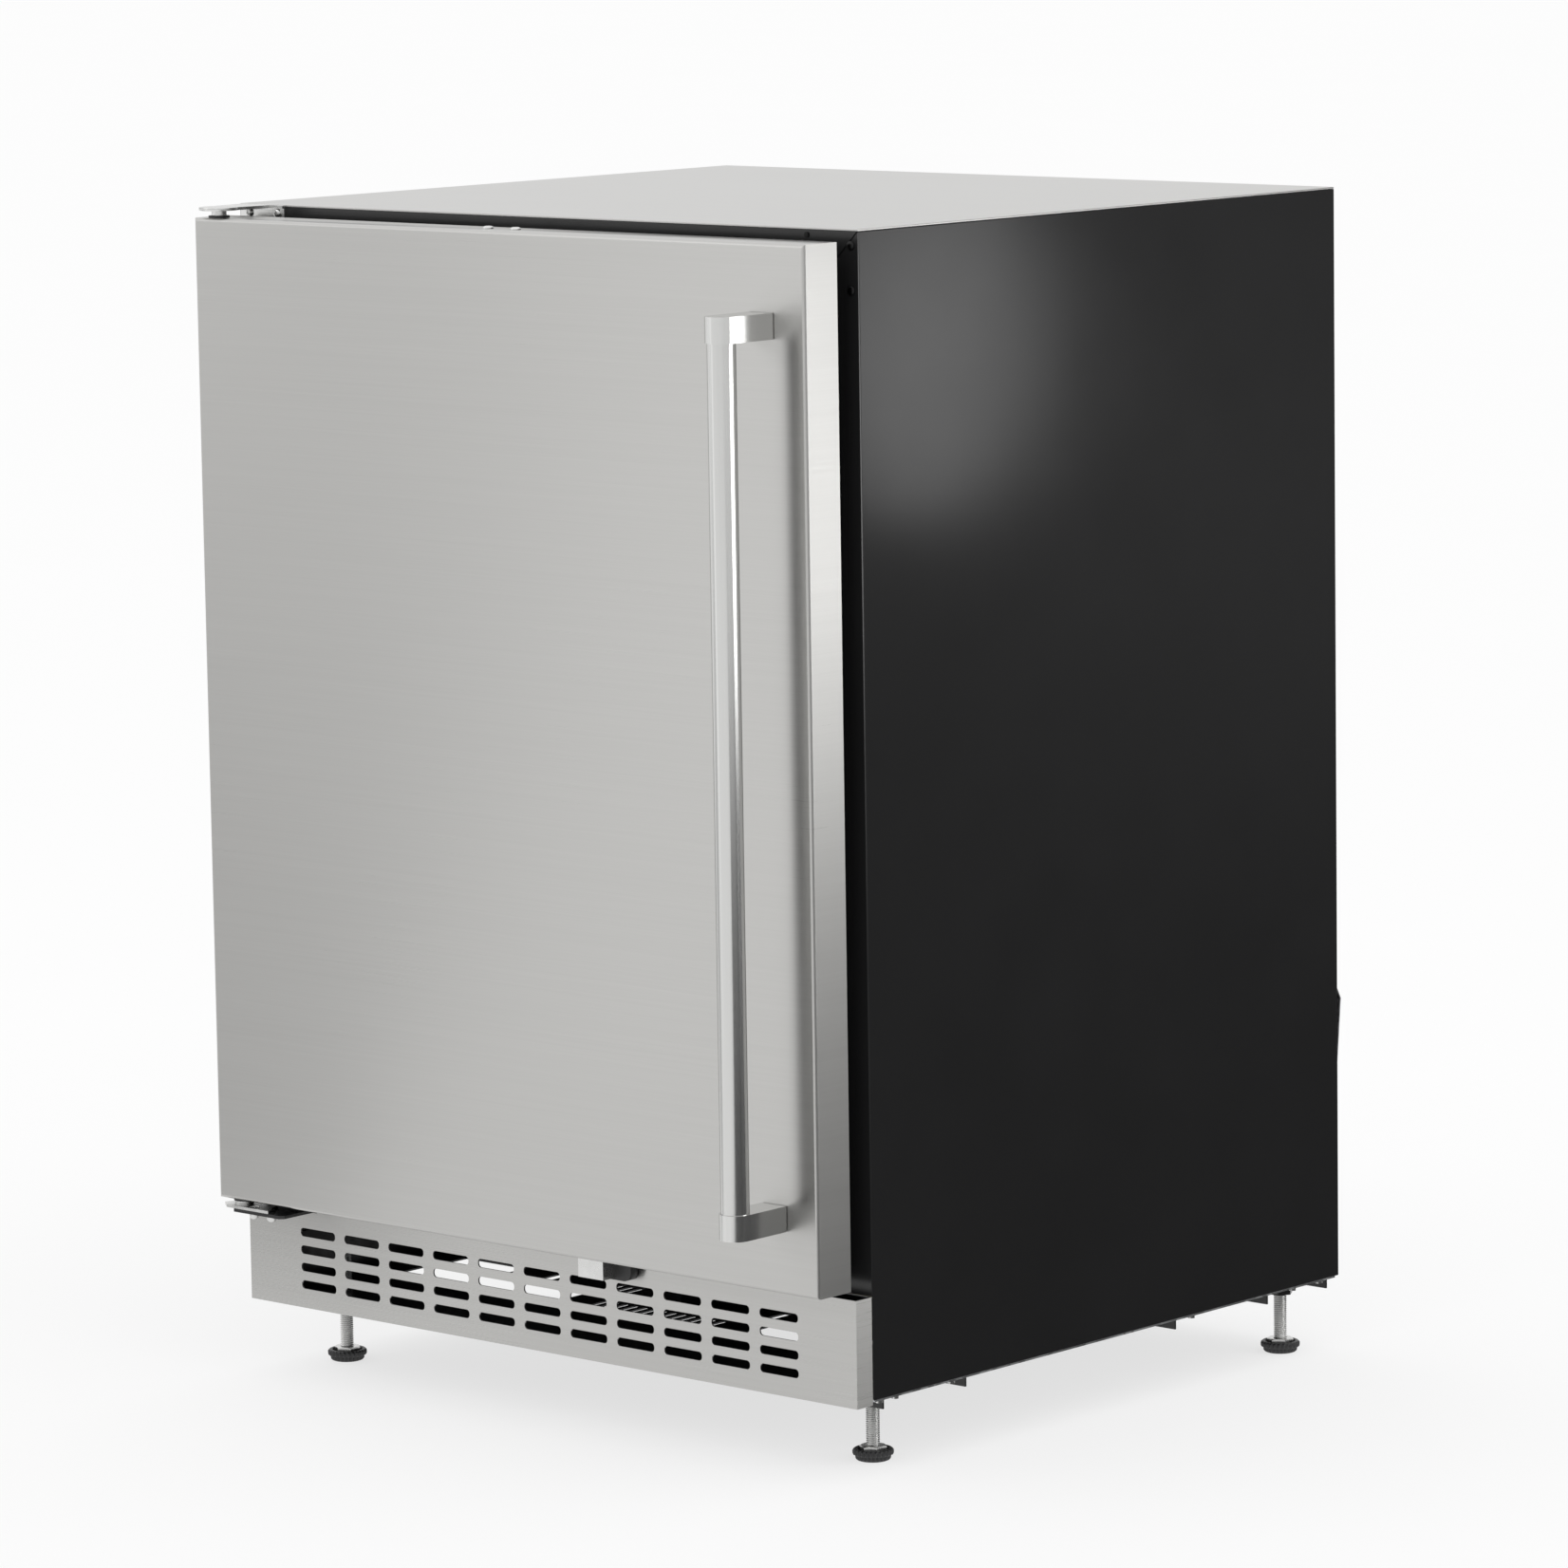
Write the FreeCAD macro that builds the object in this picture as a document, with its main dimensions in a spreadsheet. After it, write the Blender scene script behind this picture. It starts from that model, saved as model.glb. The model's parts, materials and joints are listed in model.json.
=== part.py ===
import FreeCAD, Part
import math
import os
import Sketcher

# Undercounter refrigerator, one door hinged on the left, standing on four levelling feet.
# Millimetres. The origin is on the floor under the middle of the bounding box.
# +X points to the handle side, +Y to the rear, +Z up, so the door faces -Y.

DOC = FreeCAD.newDocument("UndercounterRefrigerator")
NODES = {}

# ---------------------------------------------------------------- driving dimensions

SIZES = {
    # cabinet shell
    "cab_width": 597.0,
    "cab_depth": 528.5,
    "cab_base": 54.8,
    "overall_tall": 863.6,
    "skin": 1.0,
    "roof_gauge": 1.5,
    "frame_gauge": 1.2,
    "hood_depth": 5.6,
    "hood_low": 204.0,
    "hood_peak": 263.2,
    "hood_high": 273.7,
    # cold space
    "cavity_width": 500.0,
    "cavity_floor": 178.0,
    "cavity_ceiling": 820.0,
    "cavity_depth": 482.0,
    "step_front": 316.0,
    "step_top": 332.0,
    "liner_gauge": 1.5,
    # machine compartment under and behind the cold space
    "deck_under": 127.0,
    "riser_front": 362.0,
    "riser_top": 287.0,
    "deck_gauge": 1.0,
    # door
    "door_left": -295.1,
    "door_width": 589.6,
    "door_base": 134.0,
    "door_tall": 722.0,
    "door_front": 50.3,
    "door_pan": 33.4,
    "door_fold": 2.5,
    "door_skin": 1.0,
    "door_liner_gauge": 3.5,
    "dyke_depth": 9.0,
    "dyke_wide": 480.0,
    "dyke_low": 190.0,
    "dyke_high": 808.0,
    "gasket_wide": 560.8,
    "gasket_low": 147.0,
    "gasket_high": 843.0,
    "gasket_band": 24.0,
    "seal_gap": 0.3,
    # hinge
    "pivot_x": -281.0,
    "pivot_out": 38.5,
    "pin_dia": 8.0,
    "pin_play": 0.05,
    "bush_dia": 14.0,
    "hinge_gauge": 2.2,
    "lower_gauge": 2.5,
    # handle
    "bar_dia": 20.0,
    "bar_x": 255.0,
    "bar_out": 40.3,
    "lug_wide": 22.4,
    "lug_tall": 18.0,
    "lug_pad": 0.8,
    "lug_upper_z": 800.3,
    "lug_lower_z": 187.2,
    # kick plate
    "kick_base": 51.8,
    "kick_top": 128.1,
    "kick_out": 16.6,
    "kick_gauge": 1.2,
    "slot_long": 35.7,
    "slot_tall": 6.4,
    "slot_corner": 2.8,
    "slot_pitch_x": 45.4,
    "slot_pitch_z": 13.1,
    "slot_row_z": 69.4,
    # base and feet
    "rail_drop": 1.4,
    "rail_gauge": 1.5,
    "pan_gauge": 1.2,
    "cross_low": 43.7,
    "foot_front_x": 259.9,
    "foot_front_y": 43.5,
    "foot_rear_x": 271.7,
    "foot_rear_y": 491.9,
    "stem_dia": 10.0,
    "stem_top": 84.0,
    "cup_dia": 29.2,
    "cup_foot": 24.0,
    "cup_tall": 8.4,
    "nut_flats": 17.0,
    # shelves
    "shelf_wide": 478.0,
    "shelf_front": 34.0,
    "shelf_rear": 468.0,
    "shelf_rim": 6.0,
    "shelf_wire": 3.2,
    "shelf_low_z": 356.0,
    "shelf_pitch_z": 142.0,
    "shelf_stand_off": 3.0,
    # screws: shank holes in sheet, in the door's sheets and for the handle
    "tap_hole": 1.95,
    "edge_hole": 2.1,
    "handle_hole": 2.6,
    "frame_screw_depth": 12.0,
    # stop and bumper under the door
    "stop_x": 62.0,
    "stop_out": 30.0,
    "stop_left": 54.0,
    "stop_right": 78.0,
    "stop_tall": 17.0,
    "stop_gauge": 1.5,
    "bumper_round": 7.0,
    "bumper_thick": 7.2,
    # door switch, thermostat and lamp
    "switch_x": 200.0,
    "switch_z": 850.0,
    "plunger_dia": 6.0,
    "knob_in": 180.0,
    "knob_z": 762.0,
    "knob_stand": 24.3,
    "lamp_in": 87.0,
    "lamp_under": 812.0,
    "lamp_radius": 13.0,
    # evaporator under the ceiling
    "unit_half": 205.0,
    "unit_front": 344.0,
    "unit_rear": 478.0,
    "unit_under": 732.0,
    "unit_gauge": 2.0,
    "unit_fan_x": 130.0,
    "unit_fan_z": 776.0,
    "shaft_dia": 5.0,
    "drain_x": -190.0,
    "drain_in": 475.0,
    "drain_hole": 6.3,
    # machine compartment
    "can_x": -150.0,
    "can_in": 442.0,
    "can_radius": 58.0,
    "mount_low": 70.0,
    "mount_gauge": 2.5,
    "fan_x": 108.0,
    "fan_z": 170.0,
    "tray_gauge": 2.0,
    "inlet_x": -262.0,
    "inlet_z": 72.0,
}

SHEET = DOC.addObject("Spreadsheet::Sheet", "Sizes")
for row, (alias, number) in enumerate(SIZES.items(), start=1):
    SHEET.set("A%d" % row, alias)
    SHEET.set("B%d" % row, str(number))
    SHEET.setAlias("B%d" % row, alias)
DOC.recompute()


def size(alias):
    """The number in a cell of the sheet."""
    return float(SHEET.get(alias))


# Derived places, written as expressions on the sheet.
HANDLE_REACH = "(Sizes.door_front + Sizes.bar_out + Sizes.lug_wide / 2)"
FRONT = "((%s - Sizes.cab_depth - Sizes.hood_depth) / 2)" % HANDLE_REACH
REAR = "(%s + Sizes.cab_depth)" % FRONT
HALF = "(Sizes.cab_width / 2)"
ROOF_UNDER = "(Sizes.overall_tall - Sizes.roof_gauge)"
DOOR_FACE = "(%s - Sizes.door_front)" % FRONT
DOOR_BACK = "(%s + Sizes.door_pan)" % DOOR_FACE
DOOR_RIGHT = "(Sizes.door_left + Sizes.door_width)"
DOOR_TOP = "(Sizes.door_base + Sizes.door_tall)"
LINER_BACK = "(%s + Sizes.door_liner_gauge)" % DOOR_BACK
PIVOT_Y = "(%s - Sizes.pivot_out)" % FRONT
BAR_Y = "(%s - Sizes.bar_out)" % DOOR_FACE
KICK_FACE = "(%s - Sizes.kick_out)" % FRONT
RAIL_LOW = "(Sizes.cab_base - Sizes.rail_drop)"
PAN_LOW = "(%s + Sizes.rail_gauge)" % RAIL_LOW
PAN_TOP = "(%s + Sizes.pan_gauge)" % PAN_LOW
HINGE_TOP = "(Sizes.overall_tall - 0.2)"
HINGE_UNDER = "(%s - Sizes.hinge_gauge)" % HINGE_TOP
LOWER_TOP = "(Sizes.door_base - 4.2)"
LOWER_MID = "(%s - Sizes.hinge_gauge)" % LOWER_TOP
LOWER_UNDER = "(%s - Sizes.lower_gauge)" % LOWER_MID
DRAIN_X = "Sizes.drain_x"
DRAIN_Y = "(%s + Sizes.drain_in)" % FRONT
STOP_Y = "(%s - Sizes.stop_out)" % FRONT
KNOB_Y = "(%s + Sizes.knob_in)" % FRONT
LAMP_Y = "(%s + Sizes.lamp_in)" % FRONT
CAN_Y = "(%s + Sizes.can_in)" % FRONT
MOUNT_TOP = "(Sizes.mount_low + Sizes.mount_gauge)"


def at(base, step):
    """The expression for a place that is step millimetres past base."""
    return "(%s + %s)" % (base, step) if str(step)[0] != "-" else "(%s - %s)" % (base, str(step)[1:])


def bind(thing, prop, expression):
    thing.setExpression(prop, str(expression))


def place(thing, x, y, z):
    for letter, expression in zip("xyz", (x, y, z)):
        bind(thing, "Placement.Base." + letter, expression)


# ---------------------------------------------------------------- shape helpers

def node(name, thing):
    """Marks an object of the document as a finished sub-part."""
    thing.Label = name
    NODES[name] = thing
    return thing


def block(name, x, y, z):
    """A box from its low and high faces along each axis."""
    box = DOC.addObject("Part::Box", name)
    bind(box, "Length", "(%s) - (%s)" % (x[1], x[0]))
    bind(box, "Width", "(%s) - (%s)" % (y[1], y[0]))
    bind(box, "Height", "(%s) - (%s)" % (z[1], z[0]))
    place(box, x[0], y[0], z[0])
    return box


TURN = {
    "X": FreeCAD.Rotation(FreeCAD.Vector(0, 1, 0), 90),
    "Y": FreeCAD.Rotation(FreeCAD.Vector(1, 0, 0), -90),
    "Z": FreeCAD.Rotation(),
}


def rod(name, radius, x, y, z, length, axis="Z"):
    """A cylinder that starts at a point and runs along +X, +Y or +Z."""
    cylinder = DOC.addObject("Part::Cylinder", name)
    bind(cylinder, "Radius", radius)
    bind(cylinder, "Height", length)
    cylinder.Placement = FreeCAD.Placement(FreeCAD.Vector(), TURN[axis])
    place(cylinder, x, y, z)
    return cylinder


def cone(name, radius_low, radius_high, x, y, z, length, axis="Z"):
    solid = DOC.addObject("Part::Cone", name)
    bind(solid, "Radius1", radius_low)
    bind(solid, "Radius2", radius_high)
    bind(solid, "Height", length)
    solid.Placement = FreeCAD.Placement(FreeCAD.Vector(), TURN[axis])
    place(solid, x, y, z)
    return solid


def prism(name, flats, x, y, z, length):
    """A hexagon bar along +Z with a given width across flats."""
    solid = DOC.addObject("Part::Prism", name)
    solid.Polygon = 6
    bind(solid, "Circumradius", "%s / 2 / cos(30)" % flats)
    bind(solid, "Height", length)
    place(solid, x, y, z)
    return solid


def fuse(name, shapes):
    joined = DOC.addObject("Part::MultiFuse", name)
    joined.Shapes = shapes
    joined.Refine = True
    return joined


def group(name, shapes):
    """Separate solids kept in one sub-part."""
    compound = DOC.addObject("Part::Compound", name)
    compound.Links = shapes
    return compound


def cut(name, base, tools):
    result = DOC.addObject("Part::Cut", name)
    result.Base = base
    result.Tool = tools[0] if len(tools) == 1 else group(name + "_tools", tools)
    return result


def origin_plane(body, role):
    return [feature for feature in body.Origin.OriginFeatures if feature.Role == role][0]


def sketch_on(body, name, role):
    sketch = body.newObject("Sketcher::SketchObject", name)
    sketch.AttachmentSupport = [(origin_plane(body, role), "")]
    sketch.MapMode = "FlatFace"
    return sketch


def quarter_arc(start, end, radius):
    """The anticlockwise quarter circle between two points."""
    run = end - start
    centre = (start + end) * 0.5 + FreeCAD.Vector(-run.y, run.x, 0) * 0.5
    spoke = start - centre
    angle = math.atan2(spoke.y, spoke.x)
    return Part.ArcOfCircle(Part.Circle(centre, FreeCAD.Vector(0, 0, 1), radius), angle, angle + math.pi / 2)


def outline(sketch, points, round_after=(), radius=None):
    """A closed anticlockwise outline whose corners are pairs of expressions in the sketch's plane.

    The side after each corner in round_after is a quarter circle of the given radius.
    """
    start = sketch.GeometryCount
    count = len(points)
    numbers = [tuple(SHEET.evalExpression(str(value)) for value in pair) for pair in points]
    vectors = [FreeCAD.Vector(float(u), float(v), 0) for u, v in numbers]
    for i in range(count):
        ends = (vectors[i], vectors[(i + 1) % count])
        if i in round_after:
            bend = float(SHEET.evalExpression(radius))
            sketch.addGeometry(quarter_arc(*ends, bend), False)
            index = sketch.addConstraint(Sketcher.Constraint("Radius", start + i, bend))
            sketch.setExpression("Constraints[%d]" % index, radius)
        else:
            sketch.addGeometry(Part.LineSegment(*ends), False)
    for i in range(count):
        sketch.addConstraint(Sketcher.Constraint("Coincident", start + i, 2, start + (i + 1) % count, 1))
    for i, (u, v) in enumerate(points):
        for kind, value, number in (("DistanceX", u, vectors[i].x), ("DistanceY", v, vectors[i].y)):
            index = sketch.addConstraint(Sketcher.Constraint(kind, -1, 1, start + i, 1, number))
            sketch.setExpression("Constraints[%d]" % index, str(value))


def profile(name, role, points, length, x=0, y=0, z=0):
    """A body padded from one closed outline in an origin plane."""
    body = DOC.addObject("PartDesign::Body", name)
    outline(sketch_on(body, name + "_outline", role), points)
    pad = body.newObject("PartDesign::Pad", name + "_pad")
    pad.Profile = body.Group[0]
    bind(pad, "Length", length)
    body.Tip = pad
    place(body, x, y, z)
    return body


def screw_y(name, x, z, face, head=3.2, shank=1.9, proud=2.0, depth="Sizes.frame_screw_depth"):
    """A pan-head screw driven along +Y into a face that looks forwards."""
    dome = cone(name + "_head", head * 0.62, head, x, at(face, -proud), z, proud, "Y")
    stem = rod(name + "_shank", shank, x, face, z, depth, "Y")
    return fuse(name, [dome, stem])


# ---------------------------------------------------------------- cabinet shell

def cabinet_shell():
    """Painted sides, brushed roof, galvanised back, black front frame and the cold liner."""
    back = at(REAR, 0)
    for side, low, high in (
        ("left", "-" + HALF, "-%s + Sizes.skin" % HALF),
        ("right", "%s - Sizes.skin" % HALF, HALF),
    ):
        panel = block(
            "side_panel_" + side, (low, high),
            (at(FRONT, "Sizes.frame_gauge + 0.1"), back), ("Sizes.cab_base", ROOF_UNDER),
        )
        node("side_panel_" + side, panel)
    node("top_panel", block("top_panel", ("-" + HALF, HALF), (FRONT, back), (ROOF_UNDER, "Sizes.overall_tall")))

    inside = "(%s - Sizes.skin - 0.1)" % HALF
    node("rear_panel", block(
        "rear_panel", ("-" + inside, inside), (at(REAR, "-Sizes.skin"), REAR),
        (at("Sizes.riser_top", "1.2"), ROOF_UNDER),
    ))

    # The lower rear cover swells out into a hood with cooling slots under it.
    under = at(REAR, "-Sizes.skin")
    out = at(REAR, "Sizes.hood_depth")
    hood = [
        (under, PAN_TOP), (REAR, PAN_TOP), (REAR, "Sizes.hood_low"),
        (out, "Sizes.hood_peak"), (REAR, "Sizes.hood_high"), (REAR, "Sizes.riser_top + 1"),
        (under, "Sizes.riser_top + 1"), (under, "Sizes.hood_high"),
        (at(out, "-Sizes.skin * 1.2"), "Sizes.hood_peak"), (under, "Sizes.hood_low"),
    ]
    cover = profile("rear_cover_sheet", "YZ_Plane", hood, "2 * " + inside, x="-" + inside)
    vents = []
    for row in range(5):
        for column in range(9):
            vents.append(block(
                "rear_vent_%d_%d" % (row, column),
                ("%g" % (-232 + 52 * column), "%g" % (-192 + 52 * column)),
                (at(REAR, "-4"), at(REAR, "4")), ("%g" % (90 + 20 * row), "%g" % (96 + 20 * row)),
            ))
    node("rear_cover", cut("rear_cover", cover, vents))

    # The front frame closes the wall between the outer skin and the liner.
    frame_back = at(FRONT, "Sizes.frame_gauge")
    sheet = block("frame_sheet", ("-" + HALF, HALF), (FRONT, frame_back), ("Sizes.kick_top + 0.4", ROOF_UNDER))
    mouth = block(
        "frame_mouth", ("-Sizes.cavity_width / 2", "Sizes.cavity_width / 2"),
        (at(FRONT, "-5"), at(FRONT, "5")), ("Sizes.cavity_floor", "Sizes.cavity_ceiling"),
    )
    switch_hole = rod(
        "frame_switch_hole", "Sizes.plunger_dia / 2 + 0.3", "Sizes.switch_x", at(FRONT, "-5"), "Sizes.switch_z", "10", "Y",
    )
    screw_holes = [
        rod("frame_screw_hole_%d" % i, "Sizes.tap_hole", x, at(FRONT, "-5"), z, "10", "Y")
        for i, (x, z) in enumerate(FRAME_HOLES)
    ]
    # A fine groove marks the mitre at each top corner.
    mitres = []
    for side, sign in (("left", "-"), ("right", "")):
        ends = [("3.4", "2.6"), ("2.6", "3.4"), ("-52.4", "-51.6"), ("-51.6", "-52.4")]
        strip = [(sign + at(HALF, x), at(ROOF_UNDER, z)) for x, z in ends]
        mitres.append(profile("mitre_" + side, "XZ_Plane", strip, "2", y=at(FRONT, "0.8")))
    node("front_frame", cut("front_frame", sheet, [mouth, switch_hole] + screw_holes + mitres))

    # The liner is a deep tray with a step over the machine compartment.
    start = at(FRONT, "Sizes.frame_gauge + 0.1")
    deep = at(FRONT, "Sizes.cavity_depth")
    step = at(FRONT, "Sizes.step_front")
    wall = "Sizes.liner_gauge"
    outer = [
        (start, "Sizes.cavity_floor - " + wall), (at(step, wall), "Sizes.cavity_floor - " + wall),
        (at(step, wall), "Sizes.step_top - " + wall), (at(deep, wall), "Sizes.step_top - " + wall),
        (at(deep, wall), "Sizes.cavity_ceiling + " + wall), (start, "Sizes.cavity_ceiling + " + wall),
    ]
    inner = [
        (at(start, "-5"), "Sizes.cavity_floor"), (step, "Sizes.cavity_floor"), (step, "Sizes.step_top"),
        (deep, "Sizes.step_top"), (deep, "Sizes.cavity_ceiling"), (at(start, "-5"), "Sizes.cavity_ceiling"),
    ]
    half_in = "(Sizes.cavity_width / 2)"
    half_out = "(Sizes.cavity_width / 2 + Sizes.liner_gauge)"
    tray = profile("liner_outside", "YZ_Plane", outer, "2 * " + half_out, x="-" + half_out)
    hollow = profile("liner_inside", "YZ_Plane", inner, "2 * " + half_in, x="-" + half_in)
    drain = rod("liner_drain_hole", "Sizes.drain_hole", DRAIN_X, DRAIN_Y, "Sizes.step_top - 10", "20")
    node("inner_liner", cut("inner_liner", tray, [hollow, drain]))

    # Foam fills the walls between the skins and the liner.
    gap = at(FRONT, "Sizes.frame_gauge + 0.2")
    foam_under = at("Sizes.deck_under", "Sizes.deck_gauge")
    outer_foam = [
        (gap, foam_under), (at(FRONT, "Sizes.riser_front"), foam_under),
        (at(FRONT, "Sizes.riser_front"), at("Sizes.riser_top", "Sizes.deck_gauge")),
        (under, at("Sizes.riser_top", "Sizes.deck_gauge")), (under, ROOF_UNDER), (gap, ROOF_UNDER),
    ]
    foam = profile("foam_outside", "YZ_Plane", outer_foam, "2 * " + inside, x="-" + inside)
    tray_copy = profile("foam_hollow", "YZ_Plane", [(at(gap, "-5"), outer[0][1])] + outer[1:5]
                        + [(at(gap, "-5"), outer[5][1])], "2 * " + half_out, x="-" + half_out)
    switch_pocket = block(
        "foam_switch_pocket", ("Sizes.switch_x - 12", "Sizes.switch_x + 12"), (at(gap, "-5"), at(FRONT, "32")),
        ("Sizes.switch_z - 8", "Sizes.switch_z + 8"),
    )
    drain_hole = rod("foam_drain_hole", "Sizes.drain_hole", DRAIN_X, DRAIN_Y, "Sizes.riser_top - 20", "80")
    screw_pockets = [
        rod("foam_screw_%d" % i, "2.4", x, FRONT, z, "14", "Y") for i, (x, z) in enumerate(FRAME_HOLES)
    ]
    node("foam_insulation", cut("foam_insulation", foam, [tray_copy, switch_pocket, drain_hole] + screw_pockets))

    # A folded galvanised sheet lines the machine compartment.
    low, gauge = "Sizes.deck_under", "Sizes.deck_gauge"
    riser = at(FRONT, "Sizes.riser_front")
    deck = [
        (gap, low), (at(riser, gauge), low), (at(riser, gauge), "Sizes.riser_top"),
        (under, "Sizes.riser_top"), (under, at("Sizes.riser_top", gauge)), (riser, at("Sizes.riser_top", gauge)),
        (riser, at(low, gauge)), (gap, at(low, gauge)),
    ]
    ceiling = profile("compartment_sheet", "YZ_Plane", deck, "2 * " + inside, x="-" + inside)
    deck_hole = rod("deck_drain_hole", "Sizes.drain_hole", DRAIN_X, DRAIN_Y, "Sizes.riser_top - 10", "20")
    node("compartment_ceiling", cut("compartment_ceiling", ceiling, [deck_hole]))


# Screw places on the front frame, across and up: the two spare hinge holes on the handle side,
# the spare hole in the top strip, the upper hinge and the lower hinge.
SPARE_HOLES = [("292.4", "852.4"), ("292.4", "821.6")]
STRIP_HOLE = ("253", "858.6")
UPPER_HINGE_HOLES = [("-257.6", "857.4"), ("-286.5", "857.4")]
LOWER_HINGE_HOLES = [("-284", "138"), ("-243", "138")]
FRAME_HOLES = SPARE_HOLES + [STRIP_HOLE] + UPPER_HINGE_HOLES + LOWER_HINGE_HOLES
# Screws up into the base rails, as depths behind the front frame.
RAIL_SCREWS = ("13", "30", "90", "360", "480", "512")


def cabinet_screws():
    """The black screws of the front frame, and the zinc ones of the hinges, the back and the base."""
    black = [screw_y("spare_screw_%d" % i, x, z, FRONT, proud=1.8) for i, (x, z) in enumerate(SPARE_HOLES)]
    black.append(screw_y("strip_screw", *STRIP_HOLE, FRONT, head=1.6, proud=0.8))
    node("spare_hole_screws", group("spare_hole_screws", black))
    screws = []
    for side, gauge, holes in (
        ("upper", "Sizes.hinge_gauge", UPPER_HINGE_HOLES), ("lower", "Sizes.lower_gauge", LOWER_HINGE_HOLES),
    ):
        for i, (x, z) in enumerate(holes):
            screws.append(screw_y("%s_hinge_screw_%d" % (side, i), x, z, at(FRONT, "-" + gauge), head=3.4))
    for i, x in enumerate(CAM_BOLTS):
        head = cone("cam_bolt_head_%d" % i, "3.2", "4.8", x, CAM_BOLT_Y, at(LOWER_UNDER, "-4.4"), "4.4")
        stem = rod("cam_bolt_stem_%d" % i, "2.4", x, CAM_BOLT_Y, LOWER_UNDER, "Sizes.lower_gauge")
        screws.append(fuse("cam_bolt_%d" % i, [head, stem]))
    rear_places = [(x, z) for x in (-280, -140, 0, 140, 280) for z in (300, 852)]
    rear_places += [(x, z) for x in (-280, 0, 280) for z in (66, 281)]
    for i, (x, z) in enumerate(rear_places):
        screws.append(cone("rear_screw_%d" % i, "3.6", "2.2", x, REAR, z, "2", "Y"))
    for side in ("-", ""):
        for i, y in enumerate(RAIL_SCREWS):
            name = "rail_screw_%s%d" % ("left_" if side else "right_", i)
            screws.append(cone(name, "2.6", "4.2", side + "292.6", at(FRONT, y), at(RAIL_LOW, "-2.6"), "2.6"))
    node("cabinet_screws", group("cabinet_screws", screws))


# ---------------------------------------------------------------- base, rails and feet

FEET = {
    "front_left": ("-Sizes.foot_front_x", at(FRONT, "Sizes.foot_front_y")),
    "front_right": ("Sizes.foot_front_x", at(FRONT, "Sizes.foot_front_y")),
    "rear_left": ("-Sizes.foot_rear_x", at(FRONT, "Sizes.foot_rear_y")),
    "rear_right": ("Sizes.foot_rear_x", at(FRONT, "Sizes.foot_rear_y")),
}


CROSS_LONG, CROSS_START = "576", "-288"


def channel(name, front, rear):
    """An open channel across the base, legs down."""
    low, top, gauge = "Sizes.cross_low", RAIL_LOW, "Sizes.rail_gauge"
    y0, y1 = at(FRONT, front), at(FRONT, rear)
    shape = [
        (y0, low), (at(y0, gauge), low), (at(y0, gauge), at(top, "-" + gauge)),
        (at(y1, "-" + gauge), at(top, "-" + gauge)), (at(y1, "-" + gauge), low),
        (y1, low), (y1, top), (y0, top),
    ]
    return profile(name, "YZ_Plane", shape, CROSS_LONG, x=CROSS_START)


def angle_bar(name, front, rear):
    """An angle across the base with one leg down at its rear."""
    low, top, gauge = "Sizes.cross_low", RAIL_LOW, "Sizes.rail_gauge"
    y0, y1 = at(FRONT, front), at(FRONT, rear)
    shape = [
        (y0, at(top, "-" + gauge)), (at(y1, "-" + gauge), at(top, "-" + gauge)), (at(y1, "-" + gauge), low),
        (y1, low), (y1, top), (y0, top),
    ]
    return profile(name, "YZ_Plane", shape, CROSS_LONG, x=CROSS_START)


def stem_holes(name, radius, low, length, which=tuple(FEET)):
    return [rod("%s_%s" % (name, foot), radius, *FEET[foot], low, length) for foot in which]


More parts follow.
